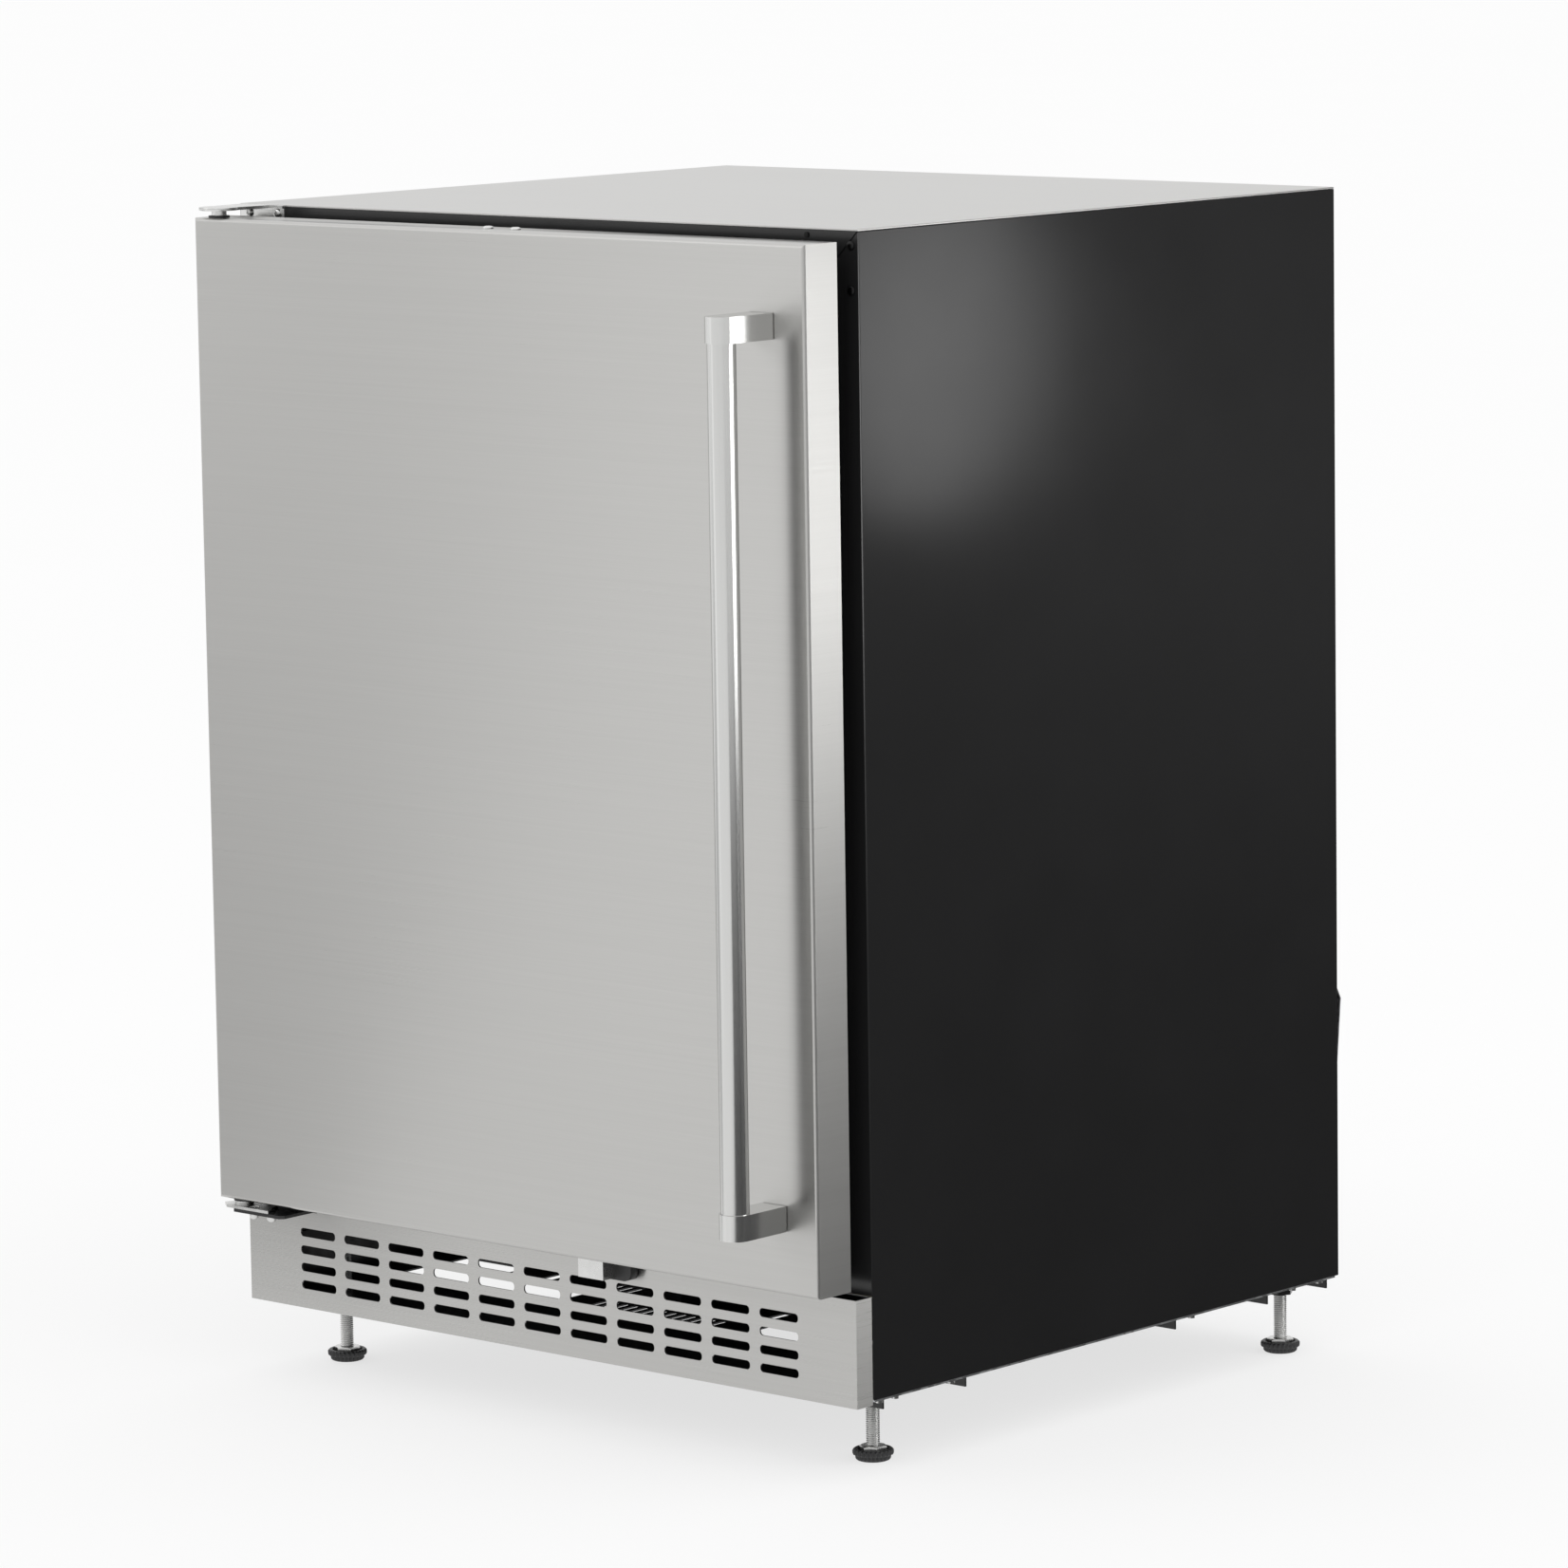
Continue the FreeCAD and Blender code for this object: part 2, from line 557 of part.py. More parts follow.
def base():
    """Galvanised side rails, black cross channels with their weld nuts, and the perforated base pan."""
    rails = []
    for side, sign in (("left", -1), ("right", 1)):
        wall = "(%s - Sizes.skin - 0.1)" % HALF
        angle = [
            (wall, RAIL_LOW), (wall, "94"), (at(wall, "-Sizes.rail_gauge"), "94"),
            (at(wall, "-Sizes.rail_gauge"), PAN_LOW), ("280", PAN_LOW), ("280", RAIL_LOW),
        ]
        if sign < 0:
            angle = [("-" + u, v) for u, v in angle]
        rails.append(profile("base_rail_" + side, "XZ_Plane", angle, "Sizes.cab_depth - 6", y=at(REAR, "-3")))
    node("base_rails", group("base_rails", rails))

    sheet = block(
        "pan_sheet", ("-295", "295"), (at(FRONT, "2"), at(REAR, "-2")), (PAN_LOW, PAN_TOP),
    )
    openings = [
        ("-262", "-98", "92", "142"), ("-259", "-196", "146", "172"), ("-162", "-152", "146", "172"),
        ("84", "136", "92", "132"), ("64", "71", "140", "172"),
    ]
    holes = []
    for i, (x0, x1, y0, y1) in enumerate(openings):
        holes.append(block(
            "pan_opening_%d" % i, (x0, x1), (at(FRONT, y0), at(FRONT, y1)), (at(PAN_LOW, "-5"), at(PAN_LOW, "6")),
        ))
    for i in range(16):
        x0 = -98 + 9.6 * i
        holes.append(block(
            "pan_vent_%d" % i, ("%g" % x0, "%g" % (x0 + 4.6)),
            (at(FRONT, "150" if i < 3 else "104"), at(FRONT, "172" if i < 3 else "126")),
            (at(PAN_LOW, "-5"), at(PAN_LOW, "6")),
        ))
    holes += stem_holes("pan_stem_hole", "5.8", at(PAN_LOW, "-5"), "12")
    node("base_pan", cut("base_pan", sheet, holes))

    channels = [
        cut(
            "front_channel", channel("front_channel_blank", "22", "112"),
            stem_holes("front_stem_hole", "5.4", "Sizes.cross_low", "30", ("front_left", "front_right")),
        ),
        angle_bar("middle_angle", "312", "348"),
        cut(
            "rear_channel", channel("rear_channel_blank", "455", "528"),
            stem_holes("rear_stem_hole", "5.4", "Sizes.cross_low", "30", ("rear_left", "rear_right")),
        ),
    ]

    nut_top = at(RAIL_LOW, "-Sizes.rail_gauge")
    for foot, (x, y) in FEET.items():
        blank = prism("foot_nut_blank_" + foot, "Sizes.nut_flats", x, y, at(nut_top, "-8"), "8")
        bore = rod("foot_nut_bore_" + foot, "Sizes.stem_dia / 2 + 0.05", x, y, at(nut_top, "-9"), "10")
        channels.append(cut("foot_nut_" + foot, blank, [bore]))
    node("cross_channels", group("cross_channels", channels))


def levelling_feet():
    """Each foot is one moulded cup, its nut and the threaded stem, turned as one piece."""
    for foot, (x, y) in FEET.items():
        lower = rod("foot_lower_" + foot, "Sizes.cup_foot / 2", x, y, "0", "Sizes.cup_tall / 2")
        upper = rod("foot_upper_" + foot, "Sizes.cup_dia / 2", x, y, "Sizes.cup_tall / 2", "Sizes.cup_tall / 2")
        dish = cone("foot_dish_" + foot, "9.6", "13", x, y, "Sizes.cup_tall - 3.4", "3.5")
        cup = cut("foot_cup_" + foot, fuse("foot_body_" + foot, [lower, upper]), [dish])
        nut = prism("foot_locknut_" + foot, "Sizes.nut_flats", x, y, "Sizes.cup_tall - 4", "7")
        stem = rod("foot_stem_" + foot, "Sizes.stem_dia / 2", x, y, "2", "Sizes.stem_top - 2")
        node("foot_" + foot, fuse("foot_" + foot, [cup, nut, stem]))


# ---------------------------------------------------------------- kick plate

def kick_plate():
    """A slotted stainless front with side returns, notched over the lower hinge."""
    body = DOC.addObject("PartDesign::Body", "kick_sheet")
    left, right = "-" + HALF, HALF
    face_in = "Sizes.kick_gauge"
    returns = "(Sizes.kick_out - 0.2)"
    plan = [
        (left, "0"), (right, "0"), (right, returns), ("%s - %s" % (right, face_in), returns),
        ("%s - %s" % (right, face_in), face_in), ("%s + %s" % (left, face_in), face_in),
        ("%s + %s" % (left, face_in), returns), (left, returns),
    ]
    outline(sketch_on(body, "kick_plan", "XY_Plane"), plan)
    pad = body.newObject("PartDesign::Pad", "kick_pad")
    pad.Profile = body.Group[0]
    bind(pad, "Length", "Sizes.kick_top - Sizes.kick_base")
    DOC.recompute()
    for row in range(4):
        slot = sketch_on(body, "kick_slot_%d" % row, "XZ_Plane")
        low = "(Sizes.slot_row_z - Sizes.kick_base + %d * Sizes.slot_pitch_z)" % row
        across = "(5 * Sizes.slot_pitch_x)"
        corner, long, tall = "Sizes.slot_corner", "Sizes.slot_long / 2", "Sizes.slot_tall / 2"
        x0, x1 = "(-%s - %s)" % (across, long), "(-%s + %s)" % (across, long)
        z0, z1 = "(%s - %s)" % (low, tall), "(%s + %s)" % (low, tall)
        outline(slot, [
            (at(x0, corner), z0), (at(x1, "-" + corner), z0), (x1, at(z0, corner)), (x1, at(z1, "-" + corner)),
            (at(x1, "-" + corner), z1), (at(x0, corner), z1), (x0, at(z1, "-" + corner)), (x0, at(z0, corner)),
        ], round_after=(1, 3, 5, 7), radius=corner)
        pocket = body.newObject("PartDesign::Pocket", "kick_pocket_%d" % row)
        pocket.Profile = slot
        pocket.Type = "Length"
        pocket.Reversed = False
        bind(pocket, "Length", "Sizes.kick_gauge + 4")
        DOC.recompute()
        spread = body.newObject("PartDesign::LinearPattern", "kick_row_%d" % row)
        spread.Originals = [pocket]
        spread.Direction = (slot, ["H_Axis"])
        spread.Occurrences = 11
        bind(spread, "Length", "10 * Sizes.slot_pitch_x")
        body.Tip = spread
        before = body.Shape.Volume
        DOC.recompute()
        if body.Shape.Volume > before - 10:
            raise SystemExit("a row of slots in the kick plate cuts nothing")
    place(body, "0", KICK_FACE, "Sizes.kick_base")
    notch = block(
        "kick_notch", ("-%s + Sizes.kick_gauge" % HALF, "-227.4"),
        (at(KICK_FACE, "-5"), at(FRONT, "-4")), (at(LOWER_UNDER, "-0.6"), "Sizes.kick_top + 5"),
    )
    node("kick_plate", cut("kick_plate", body, [notch]))


# ---------------------------------------------------------------- door

def door():
    """A folded stainless pan full of foam, closed by a moulded liner and a gasket."""
    body = block("door_blank", ("Sizes.door_left", DOOR_RIGHT), (DOOR_FACE, DOOR_BACK), ("Sizes.door_base", DOOR_TOP))
    DOC.recompute()
    rounded = DOC.addObject("Part::Fillet", "door_folds")
    rounded.Base = body
    fold = size("door_fold")
    face = body.Placement.Base.y
    front_edges = [
        i for i, edge in enumerate(body.Shape.Edges, start=1)
        if all(abs(vertex.Y - face) < 1e-6 for vertex in edge.Vertexes)
    ]
    rounded.Edges = [(i, fold, fold) for i in front_edges]
    gauge = "Sizes.door_skin"
    hollow = block(
        "door_hollow", (at("Sizes.door_left", gauge), at(DOOR_RIGHT, "-" + gauge)),
        (at(DOOR_FACE, gauge), at(DOOR_BACK, "5")), (at("Sizes.door_base", gauge), at(DOOR_TOP, "-" + gauge)),
    )
    bush_hole = "Sizes.bush_dia / 2 + 0.05"
    skin_cuts = [
        hollow,
        rod("door_upper_hole", bush_hole, "Sizes.pivot_x", PIVOT_Y, at(DOOR_TOP, "-5"), "10"),
        rod("door_lower_hole", bush_hole, "Sizes.pivot_x", PIVOT_Y, at("Sizes.door_base", "-5"), "10"),
        rod("door_top_screw_hole_0", "Sizes.edge_hole", TOP_SCREWS[0], TOP_SCREW_Y, at(DOOR_TOP, "-5"), "10"),
        rod("door_top_screw_hole_1", "Sizes.edge_hole", TOP_SCREWS[1], TOP_SCREW_Y, at(DOOR_TOP, "-5"), "10"),
        rod("door_stop_screw_hole", "Sizes.edge_hole", "Sizes.stop_x", STOP_Y, at("Sizes.door_base", "-5"), "10"),
    ]
    for lug in ("upper", "lower"):
        skin_cuts.append(rod(
            "door_handle_hole_" + lug, "Sizes.handle_hole", "Sizes.bar_x", at(DOOR_FACE, "-5"),
            "Sizes.lug_%s_z" % lug, "10", "Y",
        ))
    node("door_skin", cut("door_skin", rounded, skin_cuts))

    foam = block(
        "door_foam_blank", (at("Sizes.door_left", gauge), at(DOOR_RIGHT, "-" + gauge)),
        (at(DOOR_FACE, gauge), DOOR_BACK), (at("Sizes.door_base", gauge), at(DOOR_TOP, "-" + gauge)),
    )
    pockets = [
        rod("foam_upper_pocket", bush_hole, "Sizes.pivot_x", PIVOT_Y, at(DOOR_TOP, "-30"), "40"),
        rod("foam_lower_pocket", bush_hole, "Sizes.pivot_x", PIVOT_Y, at("Sizes.door_base", "-5"), "35"),
        rod("foam_top_screw_0", "Sizes.edge_hole", TOP_SCREWS[0], TOP_SCREW_Y, at(DOOR_TOP, "-14"), "20"),
        rod("foam_top_screw_1", "Sizes.edge_hole", TOP_SCREWS[1], TOP_SCREW_Y, at(DOOR_TOP, "-14"), "20"),
        rod("foam_stop_screw", "Sizes.edge_hole", "Sizes.stop_x", STOP_Y, at("Sizes.door_base", "-5"), "20"),
    ]
    for lug in ("upper", "lower"):
        z = "Sizes.lug_%s_z" % lug
        pockets.append(rod(
            "foam_handle_hole_" + lug, "Sizes.handle_hole", "Sizes.bar_x", at(DOOR_FACE, "-5"), z, "60", "Y",
        ))
        pockets.append(rod("foam_handle_head_" + lug, "5.2", "Sizes.bar_x", at(DOOR_BACK, "-5"), z, "10", "Y"))
    node("door_foam", cut("door_foam", foam, pockets))

    # The liner plate carries a raised dyke that reaches just inside the cabinet mouth.
    edge = "4"
    plate = block(
        "liner_plate", (at("Sizes.door_left", edge), at(DOOR_RIGHT, "-" + edge)), (DOOR_BACK, LINER_BACK),
        (at("Sizes.door_base", edge), at(DOOR_TOP, "-" + edge)),
    )
    half = "(Sizes.dyke_wide / 2)"
    dyke = block("liner_dyke", ("-" + half, half), (LINER_BACK, at(LINER_BACK, "Sizes.dyke_depth")),
                 ("Sizes.dyke_low", "Sizes.dyke_high"))
    tray = block("liner_tray", ("-%s + 18" % half, half + " - 18"), (at(LINER_BACK, "1"), at(LINER_BACK, "20")),
                 ("Sizes.dyke_low + 18", "Sizes.dyke_high - 18"))
    node("door_liner", cut("door_liner", fuse("liner_moulding", [plate, dyke]), [tray]))

    # The gasket has a flat foot, a narrow bellows and a magnet bulb that meets the frame.
    stages = []
    reach = "(Sizes.door_front - Sizes.door_pan - Sizes.door_liner_gauge - Sizes.seal_gap)"
    for name, start, end, inset in (
        ("foot", "0", "0.25", "4"), ("bellows", "0.25", "0.55", "7"), ("bulb", "0.55", "1", "0"),
    ):
        wide = "(Sizes.gasket_wide / 2 - %s)" % inset
        inner = "(Sizes.gasket_wide / 2 - Sizes.gasket_band + %s)" % inset
        ys = (at(LINER_BACK, "%s * %s" % (start, reach)), at(LINER_BACK, "%s * %s" % (end, reach)))
        rim = block("gasket_%s_rim" % name, ("-" + wide, wide), ys,
                    (at("Sizes.gasket_low", inset), at("Sizes.gasket_high", "-" + inset)))
        hole = block("gasket_%s_hole" % name, ("-" + inner, inner), (at(ys[0], "-5"), at(ys[1], "5")),
                     (at("Sizes.gasket_low", "Sizes.gasket_band - " + inset),
                      at("Sizes.gasket_high", "-(Sizes.gasket_band - %s)" % inset)))
        stages.append(cut("gasket_" + name, rim, [hole]))
    node("door_gasket", fuse("door_gasket", stages))


TOP_SCREWS = ("-16", "10.5")
TOP_SCREW_Y = at(FRONT, "-33")


def door_fittings():
    """Screws on the door's top edge and the stop under its bottom edge."""
    screws = []
    for i, x in enumerate(TOP_SCREWS):
        dome = cone("door_top_screw_head_%d" % i, "4", "2.6", x, TOP_SCREW_Y, DOOR_TOP, "2")
        stem = rod("door_top_screw_stem_%d" % i, "2", x, TOP_SCREW_Y, at(DOOR_TOP, "-12"), "12")
        screws.append(fuse("door_top_screw_%d" % i, [dome, stem]))

    low, top, gauge = at("Sizes.door_base", "-Sizes.stop_tall"), "Sizes.door_base", "Sizes.stop_gauge"
    left, right = "Sizes.stop_left", "Sizes.stop_right"
    y0, y1 = at(STOP_Y, "-5.5"), at(STOP_Y, "5.5")
    front = block("stop_front", (left, right), (y0, at(y0, gauge)), (low, top))
    side = block("stop_side", (at(right, "-" + gauge), right), (y0, y1), (low, top))
    flange = block("stop_flange", (left, right), (y0, y1), (at(top, "-" + gauge), top))
    hole = rod("stop_hole", "Sizes.edge_hole", "Sizes.stop_x", STOP_Y, at(top, "-5"), "10")
    node("door_stop_bracket", cut("door_stop_bracket", fuse("stop_angle", [front, side, flange]), [hole]))
    head = cone("stop_screw_head", "2.6", "3.8", "Sizes.stop_x", STOP_Y, at(top, "-%s - 2" % gauge), "2")
    stem = rod("stop_screw_stem", "2", "Sizes.stop_x", STOP_Y, at(top, "-" + gauge), "12")
    screws.append(fuse("door_stop_screw", [head, stem]))
    node("door_edge_screws", group("door_edge_screws", screws))

    corner, thick = "Sizes.bumper_round", "Sizes.bumper_thick"
    pad_low = at(low, "-1")
    west, east = "Sizes.stop_x", at("Sizes.stop_x", "32.5")
    ys = (y1, at(y1, thick))
    upright = block("bumper_block", (west, east), ys, (at(pad_low, corner), at(top, "-0.4")))
    shoe = block("bumper_shoe", (at(west, corner), at(east, "-" + corner)), ys, (pad_low, at(pad_low, corner)))
    nose = rod("bumper_left", corner, at(west, corner), y1, at(pad_low, corner), thick, "Y")
    heel = rod("bumper_right", corner, at(east, "-" + corner), y1, at(pad_low, corner), thick, "Y")
    node("door_stop_bumper", fuse("door_stop_bumper", [upright, shoe, nose, heel]))


def handle():
    """A round bar between two D-shaped lugs, screwed on from inside the door."""
    half = "(Sizes.lug_wide / 2)"
    lugs, pads = [], []
    for lug in ("upper", "lower"):
        centre = "Sizes.lug_%s_z" % lug
        low = at(centre, "-Sizes.lug_tall / 2")
        nose = rod("lug_nose_" + lug, half, "Sizes.bar_x", BAR_Y, low, "Sizes.lug_tall")
        neck = block(
            "lug_neck_" + lug, ("Sizes.bar_x - " + half, "Sizes.bar_x + " + half),
            (BAR_Y, at(DOOR_FACE, "-Sizes.lug_pad")), (low, at(low, "Sizes.lug_tall")),
        )
        bore = rod("lug_bore_" + lug, "2.5", "Sizes.bar_x", at(BAR_Y, "8"), centre, "60", "Y")
        lugs.append(cut("handle_lug_" + lug, fuse("lug_solid_" + lug, [nose, neck]), [bore]))
        pad = block(
            "lug_pad_" + lug, ("Sizes.bar_x - %s + 0.6" % half, "Sizes.bar_x + %s - 0.6" % half),
            (at(DOOR_FACE, "-Sizes.lug_pad"), DOOR_FACE), (at(low, "0.6"), at(low, "Sizes.lug_tall - 0.6")),
        )
        pad_hole = rod("pad_hole_" + lug, "Sizes.handle_hole", "Sizes.bar_x", at(DOOR_FACE, "-9"), centre, "20", "Y")
        pads.append(cut("handle_pad_" + lug, pad, [pad_hole]))
    node("handle_lugs", group("handle_lugs", lugs))
    node("handle_pads", group("handle_pads", pads))
    start = at("Sizes.lug_lower_z", "Sizes.lug_tall / 2")
    end = at("Sizes.lug_upper_z", "-Sizes.lug_tall / 2")
    node("handle_bar", rod("handle_bar", "Sizes.bar_dia / 2", "Sizes.bar_x", BAR_Y, start, "%s - %s" % (end, start)))
    screws = []
    for lug in ("upper", "lower"):
        z = "Sizes.lug_%s_z" % lug
        shank = rod("handle_shank_" + lug, "2.45", "Sizes.bar_x", at(BAR_Y, "10"), z,
                    "%s - %s - 14" % (DOOR_BACK, BAR_Y), "Y")
        head = rod("handle_head_" + lug, "4.8", "Sizes.bar_x", at(DOOR_BACK, "-4"), z, "3.6", "Y")
        screws.append(fuse("handle_screw_" + lug, [shank, head]))
    node("handle_screws", group("handle_screws", screws))


# ---------------------------------------------------------------- hinges

def hinges():
    """Plates screwed to the front frame, each with a pin for a nylon bush in the door."""
    nose = "14.5"
    upper = [
        ("-296", FRONT), ("-293", at(PIVOT_Y, "0")), ("-269.4", at(PIVOT_Y, "-2")), ("-264", at(FRONT, "-4")),
        ("-251", at(FRONT, "-4")), ("-251", FRONT),
    ]
    plate = profile("upper_plate", "XY_Plane", upper, "Sizes.hinge_gauge", z=HINGE_UNDER)
    tip = rod("upper_tip", nose, "Sizes.pivot_x", PIVOT_Y, HINGE_UNDER, "Sizes.hinge_gauge")
    ear = block("upper_ear", ("-296", "-251"), (at(FRONT, "-Sizes.hinge_gauge"), FRONT), ("852", HINGE_TOP))
    holes = [rod("upper_pin_hole", "Sizes.pin_dia / 2", "Sizes.pivot_x", PIVOT_Y, "850", "30")]
    holes += [
        rod("upper_screw_hole_%d" % i, "Sizes.tap_hole", x, at(FRONT, "-9"), z, "18", "Y")
        for i, (x, z) in enumerate(UPPER_HINGE_HOLES)
    ]
    node("upper_hinge_bracket", cut("upper_hinge_bracket", fuse("upper_blank", [plate, tip, ear]), holes))
    collar_low = at(DOOR_TOP, "1.6")
    collar = rod(
        "upper_collar", "5.5", "Sizes.pivot_x", PIVOT_Y, collar_low, "%s - %s" % (HINGE_UNDER, collar_low),
    )
    pin = rod("upper_pin_rod", "Sizes.pin_dia / 2", "Sizes.pivot_x", PIVOT_Y, at(DOOR_TOP, "-17"),
              "%s - %s" % (HINGE_TOP, at(DOOR_TOP, "-17")))
    pins = [fuse("upper_hinge_pin", [pin, collar])]

    lower = [
        ("-296", FRONT), ("-296", at(FRONT, "-34")), ("-279", at(FRONT, "-51.5")), ("-232", at(FRONT, "-51.5")),
        ("-229", at(FRONT, "-48.5")), ("-229", FRONT),
    ]
    black = profile("lower_plate", "XY_Plane", lower, "Sizes.lower_gauge", z=LOWER_UNDER)
    upright = block("lower_upright", ("-296", "-229"), (at(FRONT, "-Sizes.lower_gauge"), FRONT), (LOWER_UNDER, "145.5"))
    holes = [
        rod("lower_pin_hole", "Sizes.pin_dia / 2", "Sizes.pivot_x", PIVOT_Y, "110", "40"),
        rod("lower_bolt_hole_0", "2.5", CAM_BOLTS[0], CAM_BOLT_Y, "110", "40"),
        rod("lower_bolt_hole_1", "2.5", CAM_BOLTS[1], CAM_BOLT_Y, "110", "40"),
    ]
    holes += [
        rod("lower_screw_hole_%d" % i, "Sizes.tap_hole", x, at(FRONT, "-9"), z, "18", "Y")
        for i, (x, z) in enumerate(LOWER_HINGE_HOLES)
    ]
    node("lower_hinge_bracket", cut("lower_hinge_bracket", fuse("lower_blank", [black, upright]), holes))

    cam = [
        ("-288.5", at(FRONT, "-28")), ("-295", at(FRONT, "-45")), ("-286.5", at(FRONT, "-51.5")),
        ("-243", at(FRONT, "-51.5")), ("-256", at(FRONT, "-28")),
    ]
    cam_plate = profile("cam_plate", "XY_Plane", cam, "Sizes.hinge_gauge", z=LOWER_MID)
    cam_holes = [
        rod("cam_pin_hole", "Sizes.pin_dia / 2", "Sizes.pivot_x", PIVOT_Y, "110", "40"),
        rod("cam_bolt_hole", "4.2", CAM_BOLTS[0], CAM_BOLT_Y, "110", "40"),
    ]
    node("closing_cam_plate", cut("closing_cam_plate", cam_plate, cam_holes))
    pin = rod("lower_pin_rod", "Sizes.pin_dia / 2", "Sizes.pivot_x", PIVOT_Y, LOWER_UNDER,
              "Sizes.door_base + 17 - " + LOWER_UNDER)
    collar = rod("lower_collar", "7", "Sizes.pivot_x", PIVOT_Y, LOWER_TOP, "1.9")
    pins.append(fuse("lower_hinge_pin", [pin, collar]))
    node("hinge_pins", group("hinge_pins", pins))

    bushes = {
        "upper": (at(DOOR_TOP, "-20"), DOOR_TOP, DOOR_TOP, at(DOOR_TOP, "1.3")),
        "lower": ("Sizes.door_base", at("Sizes.door_base", "20"), at("Sizes.door_base", "-2"), "Sizes.door_base"),
    }
    sleeves = []
    for side, (low, high, rim_low, rim_high) in bushes.items():
        sleeve = rod(side + "_sleeve", "Sizes.bush_dia / 2", "Sizes.pivot_x", PIVOT_Y, low, "%s - %s" % (high, low))
        rim = rod(side + "_rim", "7.7", "Sizes.pivot_x", PIVOT_Y, rim_low, "%s - %s" % (rim_high, rim_low))
        bore = rod(side + "_bore", "Sizes.pin_dia / 2 + Sizes.pin_play", "Sizes.pivot_x", PIVOT_Y, at(low, "-10"), "50")
        sleeves.append(cut("hinge_bush_" + side, fuse(side + "_bush_blank", [sleeve, rim]), [bore]))
    node("hinge_bushes", group("hinge_bushes", sleeves))


CAM_BOLTS = ("-262.7", "-244.3")
CAM_BOLT_Y = at(FRONT, "-46.3")


# ---------------------------------------------------------------- inside the cold space

def door_switch():
    """A plunger switch in the top strip of the frame, held in by the shut door."""
    body = block(
        "switch_body", ("Sizes.switch_x - 10", "Sizes.switch_x + 10"),
        (at(FRONT, "Sizes.frame_gauge + 0.2"), at(FRONT, "30")), ("Sizes.switch_z - 6.5", "Sizes.switch_z + 6.5"),
    )
    bore = rod(
        "switch_bore", "Sizes.plunger_dia / 2 + 0.05", "Sizes.switch_x", at(FRONT, "-5"), "Sizes.switch_z", "27", "Y",
    )
    node("door_switch_body", cut("door_switch_body", body, [bore]))
    tip = at(LINER_BACK, "0.5")
    node("door_switch_plunger", rod(
        "door_switch_plunger", "Sizes.plunger_dia / 2", "Sizes.switch_x", tip, "Sizes.switch_z",
        "%s + 12 - %s" % (FRONT, tip), "Y",
    ))


def shelf(name, z):
    """A welded wire shelf: a rim, cross wires under it and front-to-rear wires on top."""
    rim, wire = size("shelf_rim") / 2, size("shelf_wire") / 2
    half = size("shelf_wide") / 2 - rim
    front_y = float(SHEET.evalExpression(at(FRONT, "Sizes.shelf_front"))) + rim
    rear_y = float(SHEET.evalExpression(at(FRONT, "Sizes.shelf_rear"))) - rim

    def bar(radius, start, end):
        run = end - start
        return Part.makeCylinder(radius, run.Length, start, run)

    corners = [
        FreeCAD.Vector(-half, front_y, z), FreeCAD.Vector(half, front_y, z),
        FreeCAD.Vector(half, rear_y, z), FreeCAD.Vector(-half, rear_y, z),
    ]
    pieces = [bar(rim, corners[i], corners[(i + 1) % 4]) for i in range(4)]
    pieces += [Part.makeSphere(rim, corner) for corner in corners]
    for share in (0.33, 0.67):
        y = front_y + share * (rear_y - front_y)
        pieces.append(bar(wire * 1.2, FreeCAD.Vector(-half, y, z - 0.6), FreeCAD.Vector(half, y, z - 0.6)))
    count = 17
    for i in range(1, count):
        x = -half + 2 * half * i / count
        pieces.append(bar(wire, FreeCAD.Vector(x, front_y, z + 1.9), FreeCAD.Vector(x, rear_y, z + 1.9)))
    welded = DOC.addObject("Part::Feature", name)
    welded.Shape = pieces[0].multiFuse(pieces[1:])
    return node(name, welded)


SHELF_LEVELS = ("Sizes.shelf_low_z", "(Sizes.shelf_low_z + Sizes.shelf_pitch_z)",
                "(Sizes.shelf_low_z + 2 * Sizes.shelf_pitch_z)")
STANDARD_PLACES = {"front": ("60", "76"), "rear": ("430", "446")}


def shelving():
    """Slotted standards on the side walls, clips in them and three wire shelves."""
    wall = "(Sizes.cavity_width / 2)"
    clips, standards = [], []
    for side, sign in (("left", "-"), ("right", "")):
        for place_name, (y0, y1) in STANDARD_PLACES.items():
            name = "shelf_standard_%s_%s" % (side, place_name)
            off = "Sizes.shelf_stand_off"
            span = ("%s - %s" % (wall, off), wall) if sign == "" else ("-" + wall, "-%s + %s" % (wall, off))
            low = "200" if place_name == "front" else "Sizes.step_top + 4"
            strip = block(name + "_strip", span, (at(FRONT, y0), at(FRONT, y1)), (low, "715"))
            middle = at(FRONT, "%s + 8" % y0)
            first = 346 if place_name == "rear" else 226
            across = ("-260", "-240") if sign else ("240", "260")
            windows = [
                block("%s_slot_%d" % (name, i), across, (at(middle, "-3"), at(middle, "3")),
                      ("%d" % level, "%d" % (level + 9)))
                for i, level in enumerate(range(first, 700, 40))
            ]
            standards.append(cut(name, strip, windows))
            for level, z in enumerate(SHELF_LEVELS):
                inner, outer = wall + " - 15", "%s - %s" % (wall, off)
                xs = (inner, outer) if sign == "" else ("-%s + %s" % (wall, off), "-%s + 15" % wall)
                clips.append(block(
                    "clip_%s_%s_%d" % (side, place_name, level), xs, (at(middle, "-6"), at(middle, "6")),
                    (at(z, "-Sizes.shelf_rim / 2 - 5.2"), at(z, "-Sizes.shelf_rim / 2 - 0.2")),
                ))
    node("shelf_standards", group("shelf_standards", standards))
    node("shelf_clips", group("shelf_clips", clips))
    for number, z in enumerate(SHELF_LEVELS, start=1):
        shelf("shelf_%d" % number, float(SHEET.evalExpression(z)))


FAN_BLADES = 5
BLADE_THICK = 1.6


